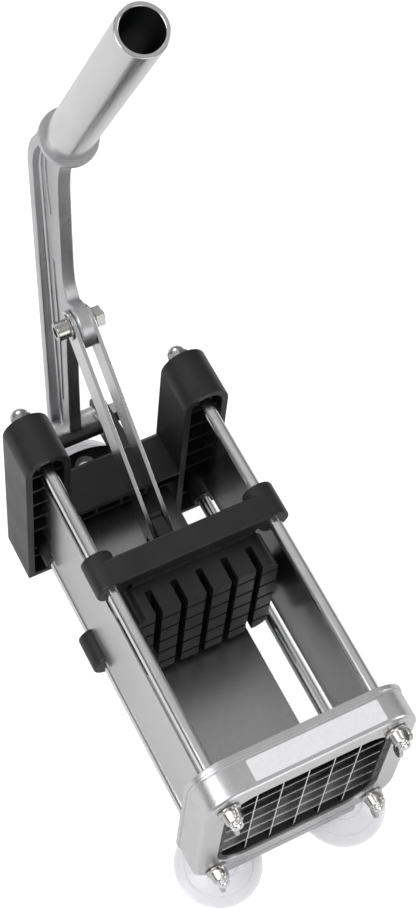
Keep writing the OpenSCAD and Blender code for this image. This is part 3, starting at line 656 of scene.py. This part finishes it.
class FRYCUTTER_OT_wing_nuts(PieceOperator):
    """Makes the four wing nuts in front of the shell"""

    bl_idname = "fry_cutter.wing_nuts"
    bl_label = "Wing nuts"

    def execute(self, context):
        turns = {"wing_nut_top_left": 94, "wing_nut_top_right": 85,
                 "wing_nut_low_left": 92, "wing_nut_low_right": 89}
        joints = {joint["child"]: joint for joint in frame["joints"]}
        for node, turn in turns.items():
            joint = joints[NODES[node]["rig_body"]]
            centre = Vector(joint["pos_m"])
            low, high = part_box(node)
            self.make_nut(node, centre, low.y, high.y, math.radians(turn))
        return {"FINISHED"}

    def make_nut(self, node, centre, front, back, turn):
        bore, flange, hub, nose = 3.08 * MM, 5.4 * MM, 4.6 * MM, 3.9 * MM
        flange_t, hub_length, soft = 1.3 * MM, 5 * MM, 0.35 * MM
        axis = centre.y
        hub_front, flange_front = back - flange_t - hub_length, back - flange_t
        bm = bmesh.new()
        turned(bm, [(back - axis, bore), (back - axis, flange - soft), (back - soft - axis, flange),
                    (flange_front + soft - axis, flange), (flange_front - axis, flange - soft),
                    (flange_front - soft - axis, hub), (hub_front + soft - axis, nose),
                    (hub_front - axis, nose - soft), (hub_front - axis, bore)],
               centre, (0, 1, 0), 40, True)
        hub_verts = set(bm.verts)
        self.make_wing(bm, self.wing_outline(front - axis, hub_front - axis, flange_front - axis,
                                             bore, hub))
        wing = [f for f in bm.faces if not set(f.verts) & hub_verts]
        copied = bmesh.ops.duplicate(bm, geom=wing)
        copy_verts = [v for v in copied["geom"] if isinstance(v, bmesh.types.BMVert)]
        bmesh.ops.rotate(
            bm, cent=(0, 0, 0), matrix=Matrix.Rotation(math.pi, 3, "Y"), verts=copy_verts)
        wing_verts = [v for v in bm.verts if v not in hub_verts]
        bmesh.ops.rotate(bm, cent=(0, 0, 0), matrix=Matrix.Rotation(-turn, 3, "Y"), verts=wing_verts)
        bmesh.ops.translate(bm, vec=centre, verts=wing_verts)
        add_piece("cast_" + node, bm, finish(plated_steel), [node])

    def wing_outline(self, front, hub_front, root, bore, hub):
        """Outline of one wing: its root on the flange, its lobe and its front shoulder."""
        reach, lobe = 12.4 * MM, 3.1 * MM
        root_lap, front_lap, shoulder = 0.4 * MM, 0.6 * MM, 0.8 * MM
        lobe_x, lobe_y = reach - lobe, front + lobe
        angles = [math.radians(a) for a in range(60, -151, -30)]
        return ([(bore + root_lap, root), (hub, root)]
                + [(lobe_x + lobe * math.cos(a), lobe_y + lobe * math.sin(a)) for a in angles]
                + [(bore + front_lap, hub_front + shoulder)])

    def make_wing(self, bm, outline):
        thick, soft = 1.9 * MM, 0.55 * MM
        before = set(bm.verts)
        verts = [bm.verts.new((x, y, -thick / 2)) for x, y in outline]
        grown = bmesh.ops.extrude_face_region(bm, geom=[bm.faces.new(verts)])
        lifted = [v for v in grown["geom"] if isinstance(v, bmesh.types.BMVert)]
        bmesh.ops.translate(bm, vec=(0, 0, thick), verts=lifted)
        rims = [e for e in bm.edges if not set(e.verts) & before
                and abs(e.verts[0].co.z - e.verts[1].co.z) < thick / 2]
        bevel(bm, rims, soft, 3, clamp=True)


class FRYCUTTER_OT_rod_nuts(PieceOperator):
    """Makes the washers and domed nuts behind the housing"""

    bl_idname = "fry_cutter.rod_nuts"
    bl_label = "Domed nuts"

    def execute(self, context):
        low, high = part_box("rod_nuts")
        nut_t, dome_r, soft = 4.4 * MM, 4.7 * MM, 0.2 * MM
        across = high.x - WASHER_RADIUS
        dome = [(nut_t + dome_r * math.sin(a), dome_r * math.cos(a))
                for a in (math.radians(step * 10) for step in range(10))]
        disc = [(0, 0)] + washer(0, soft) + [(WASHER_THICK, 0)]
        bm = bmesh.new()
        for x in (-across, across):
            for z in (low.z + WASHER_RADIUS, high.z - WASHER_RADIUS):
                turned(bm, disc, (x, low.y, z), (0, 1, 0), 40)
                seat = (x, low.y + WASHER_THICK, z)
                hexagon(bm, nut_t, seat, (0, 1, 0))
                turned(bm, [(nut_t - soft, 0), (nut_t - soft, dome_r)] + dome, seat, (0, 1, 0), 40)
        add_piece("domed_rod_nuts", bm, finish(plated_steel), ["rod_nuts"])
        return {"FINISHED"}


class FRYCUTTER_OT_chute(PieceOperator):
    """Finishes the side guards and the floor of the chute"""

    bl_idname = "fry_cutter.chute"
    bl_label = "Guards and floor"

    def execute(self, context):
        sheet = finish(polished_sheet)
        for node in ("left_guard", "right_guard"):
            soft_piece(node, sizes().sheet_edge, sheet)
        soft_piece("floor_tray", sizes().sheet_edge, finish(worn_floor))
        return {"FINISHED"}


class FRYCUTTER_OT_housing(PieceOperator):
    """Finishes the ribbed rear housing"""

    bl_idname = "fry_cutter.housing"
    bl_label = "Rear housing"

    def execute(self, context):
        weld = 0.3 * MM
        soft_piece("rear_housing", sizes().plastic_edge, finish(moulded_black),
                   weld=weld)
        return {"FINISHED"}


class FRYCUTTER_OT_pivot(PieceOperator):
    """Makes the lever's pivot bolt and its nut"""

    bl_idname = "fry_cutter.pivot"
    bl_label = "Pivot bolt"

    def execute(self, context):
        plated = finish(plated_steel)
        low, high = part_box("pivot_bolt")
        nut_low, nut_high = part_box("pivot_nut")
        centre = (0, (low.y + high.y) / 2, (low.z + high.z) / 2)
        shaft, head, soft, tip, play = 3.5 * MM, 4.4 * MM, 0.25 * MM, 0.8 * MM, 0.05 * MM
        pitch, depth, thread_back = 1 * MM, 0.35 * MM, 4 * MM
        under = low.x + head
        thread = nut_low.x + thread_back
        bm = bmesh.new()
        hexagon(bm, head, (under, centre[1], centre[2]), (-1, 0, 0))
        turned(bm, [(under, 0)] + washer(under, soft) + [(under + WASHER_THICK, shaft), (thread, shaft)]
               + threaded(thread, high.x - soft, shaft, pitch, depth)
               + [(high.x, shaft - tip), (high.x, 0)], centre, (1, 0, 0), 40)
        add_piece("hex_pivot_bolt", bm, plated, ["pivot_bolt"])
        bm = bmesh.new()
        add_nut(bm, nut_low.x, nut_high.x, shaft + play, washer(nut_low.x, soft), centre)
        add_piece("hex_pivot_nut", bm, plated, ["pivot_nut"])
        return {"FINISHED"}


def cup_profile(height, radius, neck, rim):
    """Half section of a suction cup, from the top of its neck round its skirt to the middle."""
    wall, wall_out, roof, least = 1.3 * MM, 0.6 * MM, 2.8 * MM, 0.15 * MM
    lip, lip_inside, inside_low = 0.25 * MM, 1.2 * MM, 1.6 * MM
    ring_in, ring_out, ring_end, ring_drop = 0.35 * MM, 0.8 * MM, 1.1 * MM, 0.3 * MM
    out_shares = (0.02, 0.1, 0.25, 0.45, 0.7, 0.9)
    plain = [(height - (height - rim) * share ** 0.55, neck + (radius - neck) * share)
             for share in out_shares]
    outside = list(plain)
    for i, step in ((4, 0.45 * MM), (2, 0.4 * MM)):
        z, r = outside[i]
        outside[i:i + 1] = [(z, r), (z + step, r + ring_in), (z + step, r + ring_out),
                            (z - ring_drop, r + ring_end)]
    inside = [(max(least, z - wall), r - wall_out) for z, r in reversed(plain) if z > inside_low]
    return ([(height, neck)] + outside
            + [(rim * 0.8, radius - 0.1 * MM), (rim * 0.4, radius), (0, radius - lip),
               (0, radius - lip_inside)]
            + inside + [(height - roof, 0)])


class FRYCUTTER_OT_feet(PieceOperator):
    """Makes the clear suction cups and finishes their studs and nuts"""

    bl_idname = "fry_cutter.feet"
    bl_label = "Suction feet"

    def execute(self, context):
        vinyl = finish(clear_vinyl)
        radius, neck, rim, edge = 21 * MM, 4.8 * MM, 0.9 * MM, 0.3 * MM
        front_height, rear_height = 9.8 * MM, 6.2 * MM
        low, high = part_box("front_cups")
        profile = [(high.z, 0), (high.z, neck - edge), (high.z - edge, neck)]
        profile += cup_profile(front_height, radius, neck, rim)
        bm = bmesh.new()
        for x in (low.x + radius, high.x - radius):
            turned(bm, profile, (x, low.y + radius, 0), (0, 0, 1), 96)
        add_piece("clear_front_cups", bm, vinyl, ["front_cups"])
        low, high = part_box("rear_cup")
        stem, stem_length, head, head_t = 4 * MM, 3 * MM, 5.6 * MM, 0.9 * MM
        head_edge, head_drop = 0.5 * MM, 0.4 * MM
        under = high.z - head_t - stem_length
        profile = [(high.z, 0), (high.z, head - head_edge), (high.z - head_drop, head),
                   (high.z - head_t, head), (high.z - head_t, stem), (under, stem), (under, neck)]
        profile += cup_profile(rear_height, radius, neck, rim)
        bm = bmesh.new()
        turned(bm, profile, (0, low.y + radius, 0), (0, 0, 1), 96)
        add_piece("clear_rear_cup", bm, vinyl, ["rear_cup"])
        for node in ("cup_studs", "cup_nuts"):
            soft_piece(node, sizes().sheet_edge, finish(plated_steel))
        return {"FINISHED"}


class FRYCUTTER_OT_pusher(PieceOperator):
    """Finishes the pusher: its yoke, its finger block and the screws between them"""

    bl_idname = "fry_cutter.pusher"
    bl_label = "Pusher"

    def execute(self, context):
        size = sizes()
        plastic, screw_soft = finish(moulded_black), 0.5 * MM
        bm = bmesh.new()
        self.make_rings(bm)
        self.make_plate(bm)
        self.make_ladder(bm)
        self.make_lug(bm)
        add_piece("ribbed_yoke", bm, plastic, ["pusher_yoke"])
        soft_piece("finger_block", size.plastic_edge * 0.7, plastic)
        soft_piece("block_screws", screw_soft, finish(plated_steel))
        return {"FINISHED"}

    def make_rings(self, bm):
        """The four guide rings and the bar between the top ones."""
        bore, length, soft = 3.26 * MM, (YOKE_BACK - YOKE_FRONT) * MM, 0.9 * MM
        rounded = soft * 0.3
        bar_x, bar_set, bar_low, bar_top, bar_back, bar_soft = 42.45, 0.05, 108, 116.55, 123.5, 1.6
        for x in (-ROD_X, ROD_X):
            for z, outer in ((ROD_TOP_Z, 7.6 * MM), (ROD_LOW_Z, 8 * MM)):
                turned(bm, [(0, bore), (0, outer - soft), (rounded, outer - rounded),
                            (soft, outer), (length - soft, outer),
                            (length - rounded, outer - rounded), (length, outer - soft),
                            (length, bore)], spot(x, YOKE_FRONT, z), (0, 1, 0), 56, True)
        block(bm, (-bar_x, YOKE_FRONT + bar_set, bar_low), (bar_x, bar_back, bar_top), bar_soft, 4)

    def make_plate(self, bm):
        """The plate behind the fingers, with its upright ribs and its two legs."""
        half, low, top, thick, soft = 33, 36, 110, 4.6, 0.5
        wall_in, wall_out, wall_back = 25.5, 27.1, 123.5
        rib_half, rib_low, rib_back, rib_soft = 0.8, 43.5, 119.6, 0.4
        block(bm, (-half, PLATE_FRONT, low), (half, PLATE_FRONT + thick, top), soft)
        for side in (-1, 1):
            self.make_leg(bm, side)
            block(bm, (min(side * wall_in, side * wall_out), PLATE_FRONT, low),
                  (max(side * wall_in, side * wall_out), wall_back, top), rib_soft)
        for i in range(-2, 3):
            x = i * BLADE_PITCH
            block(bm, (x - rib_half, PLATE_FRONT, rib_low), (x + rib_half, rib_back, top), rib_soft)

    def make_leg(self, bm, side):
        deep, soft = 7.5 * MM, 0.5 * MM
        outline = [(25.5, 62.5), (33, 55), (40.85, 34.8), (40.85, 28.5), (28.3, 28.8), (28.3, 31.5),
                   (25.5, 36)]
        verts = [bm.verts.new(spot(side * x, PLATE_FRONT, z)) for x, z in outline]
        before = set(bm.verts) - set(verts)
        grown = bmesh.ops.extrude_face_region(bm, geom=[bm.faces.new(verts)])
        lifted = [v for v in grown["geom"] if isinstance(v, bmesh.types.BMVert)]
        bmesh.ops.translate(bm, vec=(0, deep, 0), verts=lifted)
        made = [v for v in bm.verts if v not in before]
        bevel(bm, list({e for v in made for e in v.link_edges}), soft, 2)

    def make_ladder(self, bm):
        """The thin ribs below the bar, in front of the plate."""
        half_x, half, soft = 31, 0.35, 0.15
        rung_half, rung_low, rung_top, rung_pitch = 0.5, 104.2, 108.6, 15.3
        front, rung_front, back = YOKE_FRONT + 0.5, YOKE_FRONT + 0.4, PLATE_FRONT + 0.5
        for z in (104.5, 106.5):
            block(bm, (-half_x, front, z - half), (half_x, back, z + half), soft, 1)
        for i in range(-2, 3):
            x = i * rung_pitch
            block(bm, (x - rung_half, rung_front, rung_low), (x + rung_half, back, rung_top), soft, 1)

    def make_lug(self, bm):
        """The lug behind the plate, four walls round the window of the link pin."""
        half, low, top, wall, soft = 3.2, 59.6, 84.2, 3.6, 0.6
        front_end, back_start, back = 132, 146.1, 149.7
        lap_front, lap_back = 130, 148
        for corner, other in (((-half, PLATE_FRONT, low), (half, front_end, top)),
                              ((-half, back_start, low), (half, back, top)),
                              ((-half, lap_front, low), (half, lap_back, low + wall)),
                              ((-half, lap_front, top - wall), (half, lap_back, top))):
            block(bm, corner, other, soft)


class FRYCUTTER_OT_links(PieceOperator):
    """Finishes the two link bars and their lower pin"""

    bl_idname = "fry_cutter.links"
    bl_label = "Links"

    def execute(self, context):
        bar_soft = 0.3 * MM
        for node in ("left_link", "right_link"):
            soft_piece(node, bar_soft, finish(bar_steel))
        low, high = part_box("link_pin")
        centre = (0, (low.y + high.y) / 2, (low.z + high.z) / 2)
        head_r, head_t, shaft = (high.z - low.z) / 2, 1.6 * MM, 2.5 * MM
        dome = [(high.x - head_t * (1 - math.cos(a)), head_r * math.sin(a))
                for a in (math.radians(step * 15) for step in range(7))]
        bm = bmesh.new()
        half = dome + [(high.x - head_t, shaft)]
        turned(bm, half + [(-x, r) for x, r in reversed(half)], centre, (1, 0, 0), 40)
        add_piece("riveted_link_pin", bm, finish(plated_steel), ["link_pin"])
        return {"FINISHED"}


def lever_back(inset):
    """Points along the back of the lever, from its hub to its collar, moved in by an inset."""
    back, shoulder, shoulder_r, bend, neck_r = 253, (225, 215), 45, 35, 9.8
    reach = neck_r - inset
    return ([(back - inset, LEVER_HUB[1])] + arc(*shoulder, shoulder_r - inset, 0, bend, 7)
            + [(LEVER_COLLAR[0] + reach * math.cos(COLLAR_LEAN),
                LEVER_COLLAR[1] + reach * math.sin(COLLAR_LEAN))])


class FRYCUTTER_OT_lever(PieceOperator):
    """Makes the lever casting, a web with a flange along its back, and its cross bar"""

    bl_idname = "fry_cutter.lever"
    bl_label = "Lever"

    def execute(self, context):
        bm = bmesh.new()
        self.make_web(bm, sizes().cast_edge / MM)
        self.make_ribs(bm)
        self.make_cheeks(bm)
        self.make_hub_and_collar(bm)
        add_piece("cast_lever", bm, finish(cast_metal), ["lever_arm"])
        bar_soft = 0.5 * MM
        soft_piece("stop_bar", bar_soft, finish(black_bar))
        return {"FINISHED"}

    def make_web(self, bm, soft):
        """The web with its eye, the flange along its back and the fillet between them."""
        web_x, flange_x, flange_t = 3.3, 7.5, 5
        fillet_x, fillet_soft, fillet_near, fillet_far = 4.5, 1.1, 4.4, 6.6
        web_set = 0.4
        eye = (231, 133)
        front = ([(235.3, 251.2), (241.5, 243.5), (246, 234), (247.6, 226), (248, 215), (246, 185),
                  (244, 160), (242.6, 151), (240.6, 146.6)]
                 + arc(*eye, 12, 55, 275, 18)
                 + [(235.4, 118.6), (238, 113.5), (238.8, 107), (237.6, 80), (235.6, 47),
                    (232.7, 19), (234.5, 14)])
        side_plate(bm, [(248.5, 12.6)] + lever_back(web_set) + front, -web_x, web_x, soft)
        foot = [(240, 11.6), (249.3, 11.6), (253, 15.3)]
        side_plate(bm, foot + lever_back(0) + lever_back(flange_t)[::-1] + [LEVER_HUB],
                   -flange_x, flange_x, soft)
        side_plate(bm, [(244, 25)] + lever_back(fillet_near)[1:] + lever_back(fillet_far)[:0:-1]
                   + [(242, 25)], -fillet_x, fillet_x, fillet_soft)

    def make_ribs(self, bm):
        """The raised ribs in the pockets on both sides of the web."""
        half, low, high, soft = 0.75, 3, 4, 0.35
        for line in ([(259, 236), (259.9, 222), (258.4, 208), (254.9, 191.5)],
                     [(252.3, 158.4), (250.4, 140.7), (248.1, 123.5), (245.2, 96), (242.3, 50)]):
            outline = [(y - half, z) for y, z in line] + [(y + half, z) for y, z in line[::-1]]
            for x0, x1 in ((-high, -low), (low, high)):
                side_plate(bm, outline, x0, x1, soft, 2)

    def make_cheeks(self, bm):
        """The cheeks that carry the cross bar in front of the hub."""
        inner, outer, radius, soft = 12, 15, 5, 0.5
        bar = (230.5, 27.7)
        outline = arc(*bar, radius, 45, 225, 10) + [(236, 17.5), (243, 21), (241, 26)]
        for x0, x1 in ((-outer, -inner), (inner, outer)):
            side_plate(bm, outline, x0, x1, soft)

    def make_hub_and_collar(self, bm):
        hub = [(-15, 3.58), (-15, 6.8), (-14.8, 7.2), (-14.4, 7.4), (14.4, 7.4), (14.8, 7.2),
               (15, 6.8), (15, 3.58)]
        turned(bm, self.profile(hub), spot(0, *LEVER_HUB), (1, 0, 0), 48, True)
        collar = [(-9, 0), (-9, 9), (-0.8, 9), (-0.2, 9.4), (0, 10), (0, 12.3), (0.2, 12.8),
                  (0.7, 13), (2.3, 13), (2.8, 12.8), (3, 12.3), (3, 8.4), (27, 8.4), (27, 0)]
        turned(bm, self.profile(collar), spot(0, *LEVER_COLLAR),
               (0, -math.sin(COLLAR_LEAN), math.cos(COLLAR_LEAN)), 72)

    def profile(self, points):
        """A profile given in millimetres, in metres."""
        return [(along * MM, radius * MM) for along, radius in points]


class FRYCUTTER_OT_handle(PieceOperator):
    """Finishes the handle tube"""

    bl_idname = "fry_cutter.handle"
    bl_label = "Handle tube"

    def execute(self, context):
        rim_soft = 0.5 * MM
        soft_piece("handle_tube", rim_soft, finish(satin_tube), 3)
        return {"FINISHED"}


class FRYCUTTER_OT_link_bolt(PieceOperator):
    """Makes the cap bolt and the nut at the lever's eye"""

    bl_idname = "fry_cutter.link_bolt"
    bl_label = "Link bolt"

    def execute(self, context):
        plated = finish(plated_steel)
        low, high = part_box("link_bolt")
        nut_low, nut_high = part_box("link_nut")
        centre = (0, (low.y + high.y) / 2, (low.z + high.z) / 2)
        shaft, cap_r, cap_t, soft, play = 3 * MM, 4.6 * MM, 6 * MM, 0.3 * MM, 0.05 * MM
        socket_r, socket_t, pitch, thread_back = 2.6 * MM, 3 * MM, 0.8 * MM, 0.5 * MM
        under, thread = low.x + cap_t, nut_high.x - thread_back
        bm = bmesh.new()
        turned(bm, [(low.x + socket_t, 0), (low.x + socket_t, socket_r), (low.x, socket_r),
                    (low.x, cap_r - 2 * soft), (low.x + soft, cap_r - soft / 2),
                    (low.x + 2 * soft, cap_r), (under, cap_r)]
               + washer(under, soft) + [(under + WASHER_THICK, shaft), (thread, shaft)]
               + threaded(thread, high.x - soft, shaft, pitch, soft)
               + [(high.x, shaft - 2 * soft), (high.x, 0)], centre, (1, 0, 0), 40)
        add_piece("cap_link_bolt", bm, plated, ["link_bolt"])
        bm = bmesh.new()
        add_nut(bm, nut_low.x, nut_high.x, shaft + play, washer(nut_low.x, soft, 3), centre)
        add_piece("flanged_link_nut", bm, plated, ["link_nut"])
        return {"FINISHED"}


# Stage: floor, light and camera


class FRYCUTTER_OT_stage(PieceOperator):
    """Makes the floor, the lights, the world and the camera"""

    bl_idname = "fry_cutter.stage"
    bl_label = "Stage"

    def execute(self, context):
        self.make_floor(context)
        self.make_world(context)
        self.make_lights(context)
        self.make_camera(context)
        context.scene.view_settings.view_transform = "Standard"
        return {"FINISHED"}

    def make_floor(self, context):
        half_width, glow_share, glow_strength = 6, 0.72, 1.3
        bm = bmesh.new()
        bmesh.ops.create_grid(bm, x_segments=1, y_segments=1, size=half_width)
        mesh = bpy.data.meshes.new("studio_floor")
        bm.to_mesh(mesh)
        bm.free()
        floor = bpy.data.objects.new("studio_floor", mesh)
        context.scene.collection.objects.link(floor)
        material, tree, shader, place = new_material("floor_paint")
        fine = noise(tree, place, 30, 2)
        tree.links.new(tint(tree, span(tree, fine, 0, 1), colours().floor, 0.995, 1.005),
                       shader.inputs["Base Color"])
        shader.inputs["Roughness"].default_value = 0.9
        shader.inputs["Specular IOR Level"].default_value = 0.1
        path = tree.nodes.new("ShaderNodeLightPath")
        glow = tree.nodes.new("ShaderNodeEmission")
        glow.inputs["Strength"].default_value = glow_strength
        share = tree.nodes.new("ShaderNodeMath")
        share.operation = "MULTIPLY"
        share.inputs[1].default_value = glow_share
        mix = tree.nodes.new("ShaderNodeMixShader")
        tree.links.new(path.outputs["Is Camera Ray"], share.inputs[0])
        tree.links.new(share.outputs[0], mix.inputs["Fac"])
        tree.links.new(shader.outputs["BSDF"], mix.inputs[1])
        tree.links.new(glow.outputs["Emission"], mix.inputs[2])
        tree.links.new(mix.outputs["Shader"], tree.nodes["Material Output"].inputs["Surface"])
        mesh.materials.append(material)

    def make_world(self, context):
        world = bpy.data.worlds.new("studio")
        context.scene.world = world
        world.use_nodes = True
        tree = world.node_tree
        background = tree.nodes["Background"]
        place = tree.nodes.new("ShaderNodeTexCoord").outputs["Generated"]
        split = tree.nodes.new("ShaderNodeSeparateXYZ")
        tree.links.new(place, split.inputs["Vector"])
        ramp = tree.nodes.new("ShaderNodeValToRGB")
        for element, height, grey in zip(ramp.color_ramp.elements, (0.05, 0.85), (0.16, 1)):
            element.position = height
            element.color = (grey, grey, grey, 1)
        tree.links.new(split.outputs["Z"], ramp.inputs["Fac"])
        tree.links.new(ramp.outputs["Color"], background.inputs["Color"])
        background.inputs["Strength"].default_value = 0.55
        path = tree.nodes.new("ShaderNodeLightPath")
        white = tree.nodes.new("ShaderNodeBackground")
        white.inputs["Color"].default_value = (1, 1, 1, 1)
        white.inputs["Strength"].default_value = 1
        mix = tree.nodes.new("ShaderNodeMixShader")
        tree.links.new(path.outputs["Is Camera Ray"], mix.inputs["Fac"])
        tree.links.new(background.outputs["Background"], mix.inputs[1])
        tree.links.new(white.outputs["Background"], mix.inputs[2])
        tree.links.new(mix.outputs["Shader"], tree.nodes["World Output"].inputs["Surface"])

    def make_lights(self, context):
        target = Vector((0, 0, 0.1))
        for name, place, width, power in (
                ("key", (-1.1, -0.15, 1.15), 0.8, 11), ("fill", (1.2, -0.4, 0.7), 0.6, 4),
                ("front", (0.1, -1.3, 0.45), 0.7, 3), ("back", (-0.1, 1.3, 1.0), 0.7, 5)):
            light = bpy.data.lights.new(name, "AREA")
            light.shape = "SQUARE"
            light.size = width
            light.energy = power
            lamp = bpy.data.objects.new(name, light)
            lamp.location = place
            lamp.rotation_mode = "QUATERNION"
            lamp.rotation_quaternion = (target - Vector(place)).to_track_quat("-Z", "Y")
            context.scene.collection.objects.link(lamp)

    def make_camera(self, context):
        camera_data = bpy.data.cameras.new("camera")
        camera_data.lens = 78.85
        camera_data.sensor_width = 36
        camera_data.clip_start = 0.05
        camera_data.clip_end = 20
        camera = bpy.data.objects.new("camera", camera_data)
        right = Vector((0.88772149, -0.45611895, 0.06249852))
        up = Vector((0.37234587, 0.79116177, 0.48520264))
        back = Vector((-0.27075656, -0.40745375, 0.87216531))
        turn = Matrix((right, up, back)).transposed()
        camera.rotation_mode = "QUATERNION"
        camera.rotation_quaternion = turn.to_quaternion()
        camera.location = (-0.219986, -0.350334, 0.912651)
        context.scene.collection.objects.link(camera)
        context.scene.camera = camera


PIECE_OPERATORS = (
    FRYCUTTER_OT_shell, FRYCUTTER_OT_sticker, FRYCUTTER_OT_grid, FRYCUTTER_OT_rods,
    FRYCUTTER_OT_wing_nuts, FRYCUTTER_OT_rod_nuts, FRYCUTTER_OT_chute, FRYCUTTER_OT_housing,
    FRYCUTTER_OT_pivot, FRYCUTTER_OT_feet, FRYCUTTER_OT_pusher, FRYCUTTER_OT_links,
    FRYCUTTER_OT_lever, FRYCUTTER_OT_handle, FRYCUTTER_OT_link_bolt, FRYCUTTER_OT_stage)


class FRYCUTTER_PT_pieces(bpy.types.Panel):
    """Lists the pieces that can be made"""

    bl_label = "Fry Cutter"
    bl_idname = "FRYCUTTER_PT_pieces"
    bl_space_type = "VIEW_3D"
    bl_region_type = "UI"
    bl_category = "Fry Cutter"

    def draw(self, context):
        for group in (context.scene.fry_cutter_sizes, context.scene.fry_cutter_colours):
            box = self.layout.box()
            for name in group.__annotations__:
                box.prop(group, name)
        for operator in PIECE_OPERATORS:
            self.layout.operator(operator.bl_idname)


CLASSES = (FryCutterSizes, FryCutterColours, *PIECE_OPERATORS, FRYCUTTER_PT_pieces)


def register():
    for cls in CLASSES:
        bpy.utils.register_class(cls)
    bpy.types.Scene.fry_cutter_sizes = PointerProperty(type=FryCutterSizes)
    bpy.types.Scene.fry_cutter_colours = PointerProperty(type=FryCutterColours)


def unregister():
    del bpy.types.Scene.fry_cutter_colours
    del bpy.types.Scene.fry_cutter_sizes
    for cls in reversed(CLASSES):
        bpy.utils.unregister_class(cls)


def main():
    """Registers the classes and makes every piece."""
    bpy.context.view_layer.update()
    register()
    for operator in PIECE_OPERATORS:
        group, name = operator.bl_idname.split(".")
        getattr(getattr(bpy.ops, group), name)()


if __name__ == "__main__":
    main()
